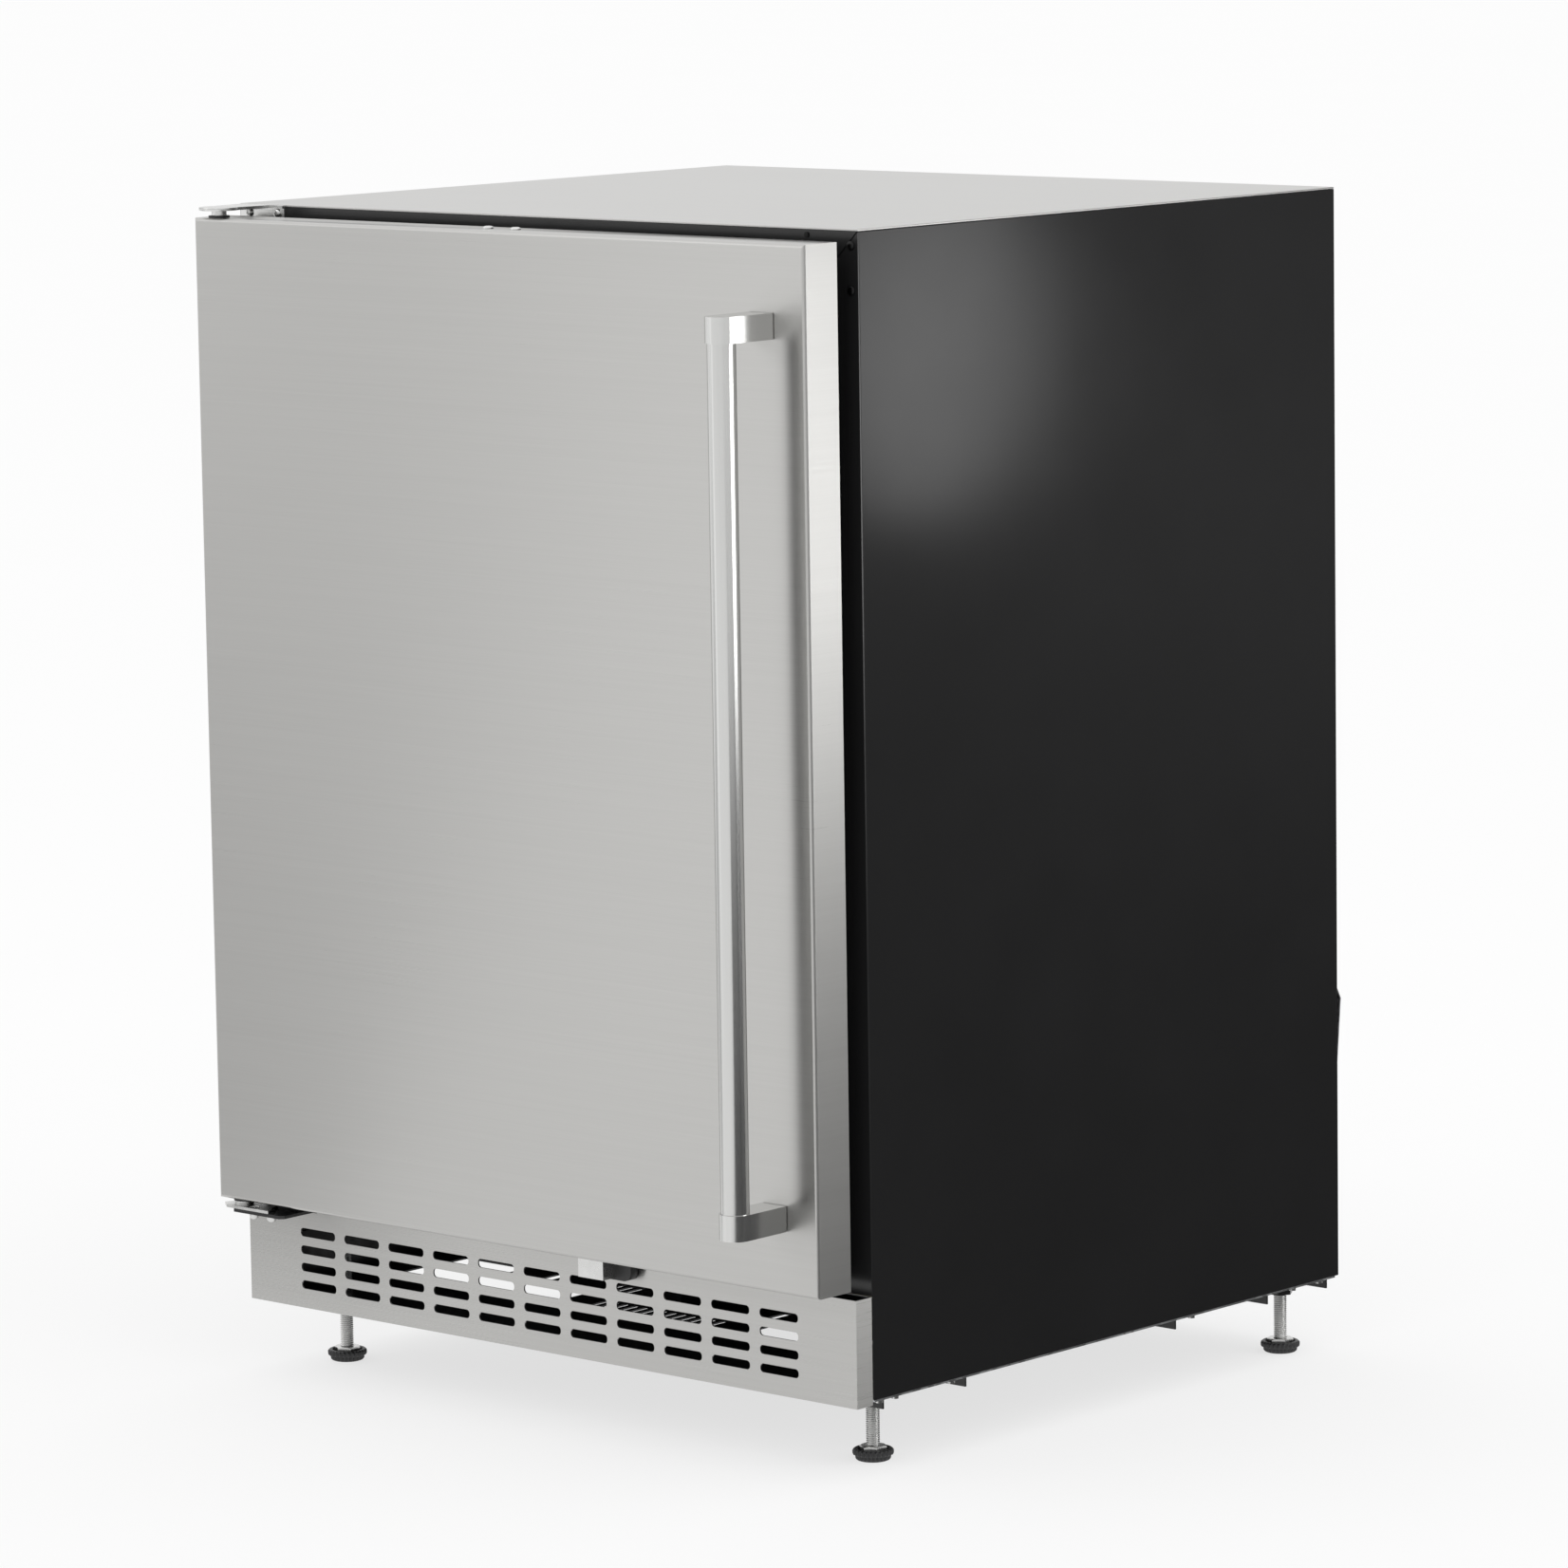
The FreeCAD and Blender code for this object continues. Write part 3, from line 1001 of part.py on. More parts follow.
def fan(name, place_at, hub_radius, tip, depth, lean):
    """A fan wheel that turns about +Y: a hub with flat blades set at an angle."""
    wheel = DOC.addObject("Part::Feature", name)
    centre = Part.makeCylinder(hub_radius, depth, FreeCAD.Vector(0, 0, 0), FreeCAD.Vector(0, 1, 0))
    pieces = []
    for i in range(FAN_BLADES):
        blade = Part.makeBox(hub_radius * 1.5, BLADE_THICK, tip - hub_radius * 0.5)
        blade.translate(FreeCAD.Vector(-hub_radius * 0.75, -BLADE_THICK / 2, hub_radius * 0.5))
        blade.rotate(FreeCAD.Vector(0, 0, 0), FreeCAD.Vector(0, 0, 1), lean)
        blade.translate(FreeCAD.Vector(0, depth / 2, 0))
        blade.rotate(FreeCAD.Vector(0, 0, 0), FreeCAD.Vector(0, 1, 0), 360 * i / FAN_BLADES)
        pieces.append(blade)
    play = 0.05
    bore = Part.makeCylinder(size("shaft_dia") / 2 + play, depth + 2, FreeCAD.Vector(0, -1, 0), FreeCAD.Vector(0, 1, 0))
    wheel.Shape = centre.multiFuse(pieces).cut(bore)
    wheel.Placement = FreeCAD.Placement(place_at, FreeCAD.Rotation())
    return node(name, wheel)


def evaporator():
    """The cooling unit under the ceiling: coil, fan and motor behind a cover."""
    ceiling = "Sizes.cavity_ceiling"
    half, under, gauge = "Sizes.unit_half", "Sizes.unit_under", "Sizes.unit_gauge"
    fan_x, fan_z = "Sizes.unit_fan_x", "Sizes.unit_fan_z"
    y0, y1 = at(FRONT, "Sizes.unit_front"), at(FRONT, "Sizes.unit_rear")
    shell = block("cover_shell", ("-" + half, half), (y0, y1), (under, at(ceiling, "-0.2")))
    inside = block(
        "cover_inside", ("-%s + %s" % (half, gauge), at(half, "-" + gauge)), (at(y0, gauge), at(y1, "5")),
        (at(under, gauge), at(ceiling, "5")),
    )
    fan_window = rod("cover_fan_window", "36", fan_x, at(y0, "-5"), fan_z, "20", "Y")
    slots = [
        block(
            "cover_slot_%d" % i, ("%d" % (-190 + 24 * i), "%d" % (-176 + 24 * i)), (at(y0, "-5"), at(y0, "5")),
            (at(under, "13"), at(ceiling, "-12")),
        )
        for i in range(11)
    ]
    drain = rod("cover_drain_hole", "Sizes.drain_hole", DRAIN_X, DRAIN_Y, "720", "30")
    cover = cut("evaporator_cover_shell", shell, [inside, fan_window, drain] + slots)
    guard_y = float(SHEET.evalExpression(y0))
    centre = FreeCAD.Vector(size("unit_fan_x"), guard_y - 1.3, size("unit_fan_z"))
    radii = (10, 19, 28, 37)
    rings = [Part.makeTorus(radius, 1.1, centre, FreeCAD.Vector(0, 1, 0)) for radius in radii]
    spokes = []
    for i in range(4):
        low_end = centre - FreeCAD.Vector(0, 0, radii[-1])
        spoke = Part.makeCylinder(0.9, 2 * radii[-1], low_end, FreeCAD.Vector(0, 0, 1))
        spoke.rotate(centre, FreeCAD.Vector(0, 1, 0), 45 * i)
        spokes.append(spoke)
    guard = DOC.addObject("Part::Feature", "evaporator_fan_guard")
    guard.Shape = rings[0].multiFuse(rings[1:] + spokes)
    node("evaporator_cover", group("evaporator_cover", [cover, guard]))
    fins = [
        block(
            "coil_fin_%d" % i, ("%d" % (-196 + 11 * i), "%g" % (-195.2 + 11 * i)), (at(y0, "50"), at(y1, "-6")),
            (at(under, "12"), at(ceiling, "-8")),
        )
        for i in range(25)
    ]
    tubes = [
        rod("coil_tube_%d_%d" % (i, j), "4", "-200", at(y0, "%d" % (64 + 26 * i)), "%d" % (757 + 21 * j), "280", "X")
        for i in range(3) for j in range(3)
    ]
    node("evaporator_coil", fuse("evaporator_coil", fins + tubes))
    motor = rod("evaporator_motor_can", "17", fan_x, at(y0, "44"), fan_z, "40", "Y")
    shaft = rod("evaporator_motor_shaft", "Sizes.shaft_dia / 2", fan_x, at(y0, "12"), fan_z, "40", "Y")
    arm = block(
        "evaporator_motor_arm", (at(fan_x, "-6"), at(fan_x, "6")), (at(y0, "60"), at(y0, "66")),
        (fan_z, at(ceiling, "-0.2")),
    )
    node("evaporator_fan_motor", fuse("evaporator_fan_motor", [motor, shaft, arm]))
    hub = FreeCAD.Vector(size("unit_fan_x"), guard_y + 16, size("unit_fan_z"))
    fan("evaporator_fan", hub, hub_radius=10, tip=32, depth=14, lean=28)
    pipe = rod("drain_pipe_outside", "6", DRAIN_X, DRAIN_Y, "250", "490")
    hollow = rod("drain_pipe_hollow", "4.6", DRAIN_X, DRAIN_Y, "245", "510")
    node("drain_pipe", cut("drain_pipe", pipe, [hollow]))


def controls():
    """The thermostat on the right wall and the lamp under the ceiling."""
    wall = "(Sizes.cavity_width / 2)"
    stand, knob_z = wall + " - Sizes.knob_stand", "Sizes.knob_z"
    box = block(
        "thermostat_blank", (wall + " - 20", wall), (at(KNOB_Y, "-40"), at(KNOB_Y, "40")),
        (at(knob_z, "-40"), at(knob_z, "38")),
    )
    hole = rod("thermostat_hole", "3.05", wall + " - 25", KNOB_Y, knob_z, "18", "X")
    node("thermostat_housing", cut("thermostat_housing", box, [hole]))
    skirt = rod("knob_skirt", "20", stand, KNOB_Y, knob_z, "4", "X")
    grip = rod("knob_grip", "15", stand + " - 13", KNOB_Y, knob_z, "14", "X")
    pointer = block(
        "knob_pointer", (stand + " - 14.2", stand + " - 11.7"), (at(KNOB_Y, "-1.2"), at(KNOB_Y, "1.2")),
        (at(knob_z, "2"), at(knob_z, "14")),
    )
    shaft = rod("knob_shaft", "3", stand, KNOB_Y, knob_z, "14", "X")
    node("thermostat_knob", fuse("thermostat_knob", [skirt, grip, pointer, shaft]))
    under = "Sizes.lamp_under"
    across = (at(LAMP_Y, "-17"), at(LAMP_Y, "17"))
    node("lamp_base", block("lamp_base", ("-84", "84"), across, (under, "Sizes.cavity_ceiling")))
    lens = rod("lamp_lens_round", "Sizes.lamp_radius", "-78", LAMP_Y, under, "156", "X")
    above = block("lamp_lens_trim", ("-90", "90"), across, (under, at(under, "18")))
    node("lamp_lens", cut("lamp_lens", lens, [above]))


# ---------------------------------------------------------------- machine compartment

def tube_run(points, radius, bend):
    """A copper tube along straight runs joined by round bends."""
    corners = [FreeCAD.Vector(*point) for point in points]
    edges = []
    start = corners[0]
    for i in range(1, len(corners) - 1):
        into = (corners[i] - corners[i - 1]).normalize()
        out = (corners[i + 1] - corners[i]).normalize()
        turn = into.getAngle(out)
        back = bend * math.tan(turn / 2)
        first, last = corners[i] - into * back, corners[i] + out * back
        middle = (out - into).normalize() * (bend / math.cos(turn / 2) - bend)
        edges.append(Part.LineSegment(start, first).toShape())
        edges.append(Part.Arc(first, corners[i] + middle, last).toShape())
        start = last
    edges.append(Part.LineSegment(start, corners[-1]).toShape())
    wire = Part.Wire(edges)
    ring = Part.Wire(Part.makeCircle(radius, corners[0], corners[1] - corners[0]))
    return wire.makePipeShell([ring], True, True)


def machine_compartment():
    """Compressor, condenser, fan, tubes, drip tray and the wiring box."""
    front = float(SHEET.evalExpression(FRONT))
    can_x, low = "Sizes.can_x", "Sizes.mount_low"
    plate = block(
        "mount_plate", (at(can_x, "-72"), at(can_x, "72")), (at(CAN_Y, "-62"), at(CAN_Y, "62")), (low, MOUNT_TOP),
    )
    corners = [(at(can_x, x), at(CAN_Y, y)) for x in ("-60", "60") for y in ("-50", "50")]
    plate_holes = [rod("mount_hole_%d" % i, "4.2", x, y, at(low, "-10"), "20") for i, (x, y) in enumerate(corners)]
    feet = cut("compressor_plate", plate, plate_holes)
    grommets = []
    for i, (x, y) in enumerate(corners):
        lower = rod("grommet_low_%d" % i, "9", x, y, PAN_TOP, "%s - %s" % (low, PAN_TOP))
        neck = rod("grommet_neck_%d" % i, "4.1", x, y, low, "Sizes.mount_gauge")
        upper = rod("grommet_top_%d" % i, "8", x, y, MOUNT_TOP, "4")
        grommets.append(fuse("grommet_%d" % i, [lower, neck, upper]))
    node("compressor_grommets", group("compressor_grommets", grommets))
    can, tall = "Sizes.can_radius", "110"
    pot = rod("compressor_pot", can, can_x, CAN_Y, MOUNT_TOP, tall)
    dome = cone("compressor_dome", can, "36", can_x, CAN_Y, at(MOUNT_TOP, tall), "26")
    seam = rod("compressor_seam", can + " + 3", can_x, CAN_Y, "128", "4")
    terminals = block(
        "compressor_terminals", (at(can_x, "46"), at(can_x, "66")), (at(CAN_Y, "-18"), at(CAN_Y, "18")), ("100", "150"),
    )
    node("compressor", fuse("compressor", [pot, dome, seam, terminals, feet]))

    pitch, gauge = 7.6, 0.8
    starts = [-30 + pitch * i for i in range(37)]
    depth = (at(FRONT, "368"), at(FRONT, "404"))
    fins = [
        block("condenser_fin_%d" % i, ("%g" % x, "%g" % (x + gauge)), depth, ("64", "276"))
        for i, x in enumerate(starts)
    ]
    tubes = [
        rod("condenser_tube_%d" % j, "4.2", "-36", at(FRONT, "386"), "%d" % (80 + 26 * j), "290", "X") for j in range(8)
    ]
    coil = fuse("condenser_coil", fins + tubes)
    shroud = block("shroud_sheet", ("-34", "250"), (at(FRONT, "408"), at(FRONT, "410")), ("58", "280"))
    fan_x, fan_z = "Sizes.fan_x", "Sizes.fan_z"
    opening = rod("shroud_opening", "82", fan_x, at(FRONT, "400"), fan_z, "20", "Y")
    node("condenser", group("condenser", [coil, cut("condenser_shroud", shroud, [opening])]))
    hub = FreeCAD.Vector(size("fan_x"), front + 412, size("fan_z"))
    fan("condenser_fan", hub, hub_radius=20, tip=76, depth=22, lean=26)
    motor = rod("condenser_motor_can", "32", fan_x, at(FRONT, "440"), fan_z, "56", "Y")
    shaft = rod("condenser_motor_shaft", "Sizes.shaft_dia / 2", fan_x, at(FRONT, "413"), fan_z, "40", "Y")
    arm = block(
        "condenser_motor_arm", (at(fan_x, "-10"), at(fan_x, "10")), (at(FRONT, "460"), at(FRONT, "466")),
        (PAN_TOP, fan_z),
    )
    toe = block(
        "condenser_motor_toe", (at(fan_x, "-20"), at(fan_x, "20")), (at(FRONT, "460"), at(FRONT, "490")),
        (PAN_TOP, at(PAN_TOP, "2")),
    )
    node("condenser_fan_motor", fuse("condenser_fan_motor", [motor, shaft, arm, toe]))

    tubes = DOC.addObject("Part::Feature", "refrigerant_tubes")
    can_top, bend = 208.5, 10
    middle_x, middle_y = size("can_x"), front + size("can_in")
    coil_y, high = front + 386, 250
    discharge = tube_run([
        (middle_x, middle_y, can_top), (middle_x, middle_y, high), (-60, middle_y, high), (-60, coil_y, high),
        (-36.5, coil_y, high),
    ], 3.2, bend)
    side_x, back_y = -240, front + 500
    suction = tube_run([
        (middle_x - 20, middle_y, can_top), (middle_x - 20, middle_y, 236), (side_x, middle_y, 236),
        (side_x, middle_y, 262), (side_x, back_y, 262), (side_x, back_y, 286.5),
    ], 4.0, bend)
    tubes.Shape = Part.makeCompound([discharge, suction])
    node("refrigerant_tubes", tubes)

    x0, x1, y0, y1, wall = "-236", "-64", at(FRONT, "200"), at(FRONT, "340"), "Sizes.tray_gauge"
    tray = block("tray_outside", (x0, x1), (y0, y1), (PAN_TOP, "84"))
    tray_in = block(
        "tray_inside", (at(x0, wall), at(x1, "-" + wall)), (at(y0, wall), at(y1, "-" + wall)),
        (at(PAN_TOP, wall), "90"),
    )
    node("drip_tray", cut("drip_tray", tray, [tray_in]))
    node("wiring_box", block("wiring_box", ("110", "240"), (at(FRONT, "210"), at(FRONT, "340")), (PAN_TOP, "120")))
    inlet_x, inlet_z = "Sizes.inlet_x", "Sizes.inlet_z"
    flange = rod("inlet_flange", "13", inlet_x, REAR, inlet_z, "3", "Y")
    neck = rod("inlet_neck", "8", inlet_x, REAR, inlet_z, "5.4", "Y")
    bore = rod("inlet_bore", "4.4", inlet_x, at(REAR, "-5"), inlet_z, "20", "Y")
    node("power_cord_inlet", cut("power_cord_inlet", fuse("inlet_blank", [flange, neck]), [bore]))


# ---------------------------------------------------------------- build, check and write

cabinet_shell()
cabinet_screws()
base()
levelling_feet()
kick_plate()
door()
door_fittings()
handle()
hinges()
door_switch()
shelving()
evaporator()
controls()
machine_compartment()
DOC.recompute()

problems = [
    "%s is %s" % (thing.Label, thing.State) for thing in DOC.Objects
    if "Invalid" in thing.State or "Error" in thing.State
]
for name, thing in NODES.items():
    shape = thing.Shape
    if shape.isNull() or not shape.isValid() or shape.Volume <= 0:
        problems.append("%s has no valid shape" % name)
    if thing.Label != name:
        problems.append("%s has the label %s" % (name, thing.Label))
if problems:
    raise SystemExit("\n".join(problems))

os.makedirs("parts", exist_ok=True)
for name, thing in NODES.items():
    thing.Shape.exportStep("parts/%s.step" % name)
print("%d sub-parts written" % len(NODES))
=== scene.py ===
"""An undercounter refrigerator: brushed steel door and top, black cabinet, bar handle, levelling feet."""

import json
import math

import bmesh
import bpy
from mathutils import Matrix, Vector


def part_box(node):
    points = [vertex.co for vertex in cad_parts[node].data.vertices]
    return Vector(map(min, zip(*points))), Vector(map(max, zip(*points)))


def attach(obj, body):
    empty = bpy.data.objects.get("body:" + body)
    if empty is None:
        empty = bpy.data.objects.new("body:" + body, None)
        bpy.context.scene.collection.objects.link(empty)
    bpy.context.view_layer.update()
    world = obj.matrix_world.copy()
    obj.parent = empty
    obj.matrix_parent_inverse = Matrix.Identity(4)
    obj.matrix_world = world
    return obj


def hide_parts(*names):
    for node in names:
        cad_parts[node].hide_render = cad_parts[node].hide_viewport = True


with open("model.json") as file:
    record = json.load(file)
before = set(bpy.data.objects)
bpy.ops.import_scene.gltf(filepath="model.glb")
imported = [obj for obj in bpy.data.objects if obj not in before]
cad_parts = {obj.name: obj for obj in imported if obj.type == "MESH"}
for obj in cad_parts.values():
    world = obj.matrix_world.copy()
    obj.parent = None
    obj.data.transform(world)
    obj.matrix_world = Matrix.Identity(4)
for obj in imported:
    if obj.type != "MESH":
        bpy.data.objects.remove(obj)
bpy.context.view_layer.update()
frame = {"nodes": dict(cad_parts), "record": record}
NODES = frame["nodes"]
MM = 0.001


# ---------------------------------------------------------------- materials

class Look:
    """A Principled material whose detail comes from noise laid out in the object's own metres."""

    def __init__(self, name, colour, rough, metal=0.0, **sockets):
        self.mat = bpy.data.materials.new(name)
        self.mat.use_nodes = True
        self.tree = self.mat.node_tree
        self.shader = self.tree.nodes["Principled BSDF"]
        self.colour = colour
        self.set("Base Color", (*colour, 1.0))
        self.set("Roughness", rough)
        self.set("Metallic", metal)
        for socket, value in sockets.items():
            self.set(socket.replace("_", " "), value)
        self.coords = self.tree.nodes.new("ShaderNodeTexCoord").outputs["Object"]
        self.normal = None

    def set(self, socket, value):
        self.shader.inputs[socket].default_value = value

    def new(self, kind, links=(), **values):
        node = self.tree.nodes.new(kind)
        for key, value in values.items():
            setattr(node, key, value)
        for socket, source in dict(links).items():
            if isinstance(source, bpy.types.NodeSocket):
                self.tree.links.new(source, node.inputs[socket])
            else:
                node.inputs[socket].default_value = source
        return node

    def stretch(self, scale):
        """The coordinates, scaled by cells per metre along each axis."""
        return self.new("ShaderNodeMapping", {"Vector": self.coords, "Scale": scale}).outputs[0]

    def noise(self, scale, detail=3.0, rough=0.55):
        return self.new("ShaderNodeTexNoise", {
            "Vector": self.stretch(scale), "Scale": 1.0, "Detail": detail, "Roughness": rough,
        }).outputs["Fac"]

    def cells(self, scale):
        """Flat cells, each of its own colour."""
        return self.new("ShaderNodeTexVoronoi", {
            "Vector": self.stretch(scale), "Scale": 1.0,
        }).outputs["Color"]

    def place(self, axis):
        """The position along one axis, in metres."""
        return self.new("ShaderNodeSeparateXYZ", {"Vector": self.coords}).outputs[axis]

    def total(self, one, two):
        return self.new("ShaderNodeMath", {0: one, 1: two}, operation="ADD").outputs[0]

    def spread(self, fac, low, high, start=0.3, end=0.7):
        """A value that runs from low to high as fac runs from start to end."""
        return self.new("ShaderNodeMapRange", {
            "Value": fac, "From Min": start, "From Max": end, "To Min": low, "To Max": high}).outputs[0]

    def mix(self, fac, one, two):
        node = self.new("ShaderNodeMix", data_type="RGBA")
        for socket, source in (("Factor", fac), ("A", one), ("B", two)):
            slot = [s for s in node.inputs if s.name == socket and s.enabled][0]
            if isinstance(source, bpy.types.NodeSocket):
                self.tree.links.new(source, slot)
            elif socket == "Factor":
                slot.default_value = source
            else:
                slot.default_value = (*source, 1.0)
        return [s for s in node.outputs if s.enabled][0]

    def tint(self, fac, low, high, start=0.3, end=0.7):
        """Multiplies the base colour by a factor between low and high."""
        mixed = self.mix(
            self.spread(fac, 0.0, 1.0, start, end),
            tuple(c * low for c in self.colour), tuple(min(1.0, c * high) for c in self.colour),
        )
        return self.paint(mixed)

    def paint(self, source):
        self.tree.links.new(source, self.shader.inputs["Base Color"])
        return self

    def overpaint(self, fac, colour):
        """Lays a second colour over the base colour where fac is 1."""
        base = self.shader.inputs["Base Color"].links[0].from_socket
        return self.paint(self.mix(fac, base, colour))

    def gloss(self, fac, low, high, start=0.3, end=0.7):
        self.tree.links.new(self.spread(fac, low, high, start, end), self.shader.inputs["Roughness"])
        return self

    def bump(self, fac, height_mm, strength=1.0):
        links = {"Height": fac, "Strength": strength, "Distance": height_mm * MM}
        if self.normal is not None:
            links["Normal"] = self.normal
        self.normal = self.new("ShaderNodeBump", links).outputs["Normal"]
        self.tree.links.new(self.normal, self.shader.inputs["Normal"])
        return self

    def rolled(self, axis, strength):
        """Anisotropic reflection along the grain, with the tangent taken round an axis."""
        tangent = self.new("ShaderNodeTangent", direction_type="RADIAL", axis=axis)
        self.tree.links.new(tangent.outputs[0], self.shader.inputs["Tangent"])
        self.set("Anisotropic", strength)
        self.set("Anisotropic Rotation", 0.25)
        return self


def brushed(name, colour, rough, grain, axis="Z", strength=0.75, contrast=0.05):
    """Brushed stainless: grain is cells per metre along x, y and z, low along the lines."""
    look = Look(name, colour, rough, metal=1.0)
    fine = look.noise(tuple(2.2 * g for g in grain), detail=2.0)
    broad = look.noise(tuple(0.4 * g for g in grain), detail=3.0, rough=0.7)
    cloud = look.noise((3.1, 3.1, 3.1), detail=2.0)
    look.tint(look.total(fine, broad), 1.0 - contrast, 1.0 + contrast, 0.6, 1.4)
    look.gloss(look.total(fine, cloud), rough - 0.03, rough + 0.03, 0.6, 1.4)
    look.bump(fine, 0.003, 0.25)
    return look.rolled(axis, strength)


def powder(name, colour, rough, grain=900.0, height=0.02):
    """Powder coat: a fine pebbled skin with slow changes in gloss."""
    look = Look(name, colour, rough)
    skin = look.noise((grain, grain, grain), detail=2.0)
    cloud = look.noise((9.0, 9.0, 9.0), detail=3.0)
    look.tint(cloud, 0.94, 1.08)
    look.gloss(cloud, rough - 0.015, rough + 0.02)
    return look.bump(skin, height, 0.7)


def plated(name, colour, rough):
    """Zinc plate: bright metal with a cloudy skin and rubbed patches."""
    look = Look(name, colour, rough, metal=1.0)
    cloud = look.noise((90.0, 90.0, 90.0), detail=3.0)
    look.tint(cloud, 0.9, 1.05)
    look.gloss(cloud, rough - 0.05, rough + 0.08)
    return look.bump(look.noise((1400.0, 1400.0, 1400.0)), 0.01, 0.5)


def moulded(name, colour, rough, grain=1500.0, height=0.015, uneven=0.06, **sockets):
    """Moulded plastic or rubber with a fine texture."""
    look = Look(name, colour, rough, **sockets)
    skin = look.noise((grain, grain, grain), detail=2.0)
    cloud = look.noise((25.0, 25.0, 25.0), detail=2.0)
    look.tint(cloud, 1.0 - uneven, 1.0 + uneven)
    look.gloss(cloud, rough - uneven / 2, rough + uneven / 2)
    return look.bump(skin, height, 0.6)


def galvanised(name, colour, rough):
    """Galvanised sheet: spangle of a few millimetres in tone and gloss."""
    look = Look(name, colour, rough, metal=1.0)
    spangle = look.cells((140.0, 140.0, 140.0))
    tone = look.new("ShaderNodeSeparateColor", {"Color": spangle}).outputs[0]
    look.tint(tone, 0.82, 1.12, 0.0, 1.0)
    look.gloss(tone, rough - 0.08, rough + 0.1, 0.0, 1.0)
    return look.bump(look.noise((700.0, 700.0, 700.0)), 0.008, 0.6)


STEEL = (0.52, 0.516, 0.503)
ZINC_SHEET = (0.60, 0.61, 0.62)
FOAM = (0.78, 0.68, 0.42)
PAINT_EDGE = 0.0550    # height above the floor of the rails' bottom flange, which is left bare


def rail_look():
    """Galvanised rails, black above their bottom flange."""
    look = galvanised("rail_steel", ZINC_SHEET, 0.36)
    painted = look.spread(look.place("Z"), 0.0, 1.0, PAINT_EDGE, PAINT_EDGE + 0.2 * MM)
    look.overpaint(painted, (0.012, 0.012, 0.012))
    look.tree.links.new(look.spread(painted, 1.0, 0.0, 0.0, 1.0), look.shader.inputs["Metallic"])
    return look


def bar_look():
    """The handle's steel, painted dark on the side towards the door and the hinges.

    The paint stands in for what the bar reflects there, and darkens its image in the door. A real bar
    is steel all round.
    """
    look = brushed(
        "bar_satin_steel", (0.64, 0.64, 0.63), 0.19, LINES_ALONG_BAR, strength=0.4, contrast=0.03)
    dark_way = Vector((-0.74, 0.67, 0.0))
    reach = [vertex.co.dot(dark_way) for vertex in NODES["handle_bar"].data.vertices]
    side = 0.66 * max(reach) + 0.34 * min(reach)
    place = look.new("ShaderNodeVectorMath", {0: look.coords, 1: dark_way}, operation="DOT_PRODUCT")
    # Painted reflection: the side towards the door and the hinges is darkened, as it would look reflected in
    # the door.
    painted_reflection_mask = look.spread(place.outputs["Value"], 0.0, 1.0, side, side + 1.5 * MM)
    return look.overpaint(painted_reflection_mask, (0.05, 0.05, 0.05))


def door_foam_look():
    """Foam with a steel look on its rear face, for the skin's folded flange, which isn't modelled."""
    look = moulded("door_foam_flange", FOAM, 0.6, grain=300.0, height=0.05)
    rear = max(vertex.co.y for vertex in NODES["door_foam"].data.vertices)
    flange = look.spread(look.place("Y"), 0.0, 1.0, rear - 1.2 * MM, rear - 0.8 * MM)
    look.overpaint(flange, STEEL)
    look.tree.links.new(flange, look.shader.inputs["Metallic"])
    return look


# Cells per metre along x, y and z.
LINES_ACROSS_FACE = (4.0, 4.0, 1300.0)
LINES_ACROSS_TOP = (4.0, 1300.0, 4.0)
LINES_ALONG_BAR = (900.0, 900.0, 6.0)

looks = {
    "door_steel": brushed("door_brushed_steel", STEEL, 0.30, LINES_ACROSS_FACE, contrast=0.03),
    "cabinet_steel": brushed(
        "cabinet_brushed_steel", (0.54, 0.537, 0.526), 0.30, LINES_ACROSS_TOP, axis="Y", contrast=0.03),
    "kick_steel": brushed(
        "kick_brushed_steel", (0.50, 0.496, 0.483), 0.28, LINES_ACROSS_FACE, contrast=0.04),
    "handle_steel": brushed(
        "handle_satin_steel", (0.66, 0.66, 0.65), 0.19, LINES_ALONG_BAR, strength=0.4, contrast=0.03),
    "black_paint": powder("black_powder_coat", (0.0125, 0.0125, 0.0128), 0.24),
    "galvanised": galvanised("galvanised_sheet", ZINC_SHEET, 0.36),
    "zinc": plated("zinc_plate", (0.70, 0.70, 0.69), 0.26),
    "black_screw": plated("black_oxide", (0.03, 0.03, 0.03), 0.34),
    "liner": moulded("coated_liner", (0.80, 0.805, 0.80), 0.32, grain=500.0, height=0.03, uneven=0.012),
    "door_inner": moulded("charcoal_plastic", (0.05, 0.05, 0.052), 0.45, uneven=0.03),
    "foam": moulded("rigid_foam", FOAM, 0.9, grain=300.0, height=0.4),
    "gasket": moulded("black_vinyl", (0.016, 0.016, 0.016), 0.42),
    "nylon": moulded("white_nylon", (0.80, 0.80, 0.77), 0.40),
    "foot": plated("foot_zinc", (0.70, 0.70, 0.69), 0.26),
    "shelf_wire": moulded("epoxy_wire", (0.55, 0.56, 0.57), 0.34, grain=700.0, height=0.03),
    "shelf_support": brushed("support_steel", (0.62, 0.62, 0.61), 0.30, (900.0, 900.0, 8.0)),
    "white_plastic": moulded("white_plastic", (0.80, 0.80, 0.78), 0.38),
    "black_plastic": moulded("black_plastic", (0.02, 0.02, 0.021), 0.42),
    "lens": moulded("opal_lens", (0.88, 0.88, 0.84), 0.22, grain=400.0, Transmission_Weight=0.35),
    "fins": brushed("bare_fins", (0.74, 0.75, 0.76), 0.30, (900.0, 40.0, 40.0), strength=0.3),
    "black_enamel": powder("black_enamel", (0.018, 0.018, 0.019), 0.28, grain=400.0),
    "copper": plated("drawn_copper", (0.72, 0.38, 0.25), 0.24),
}

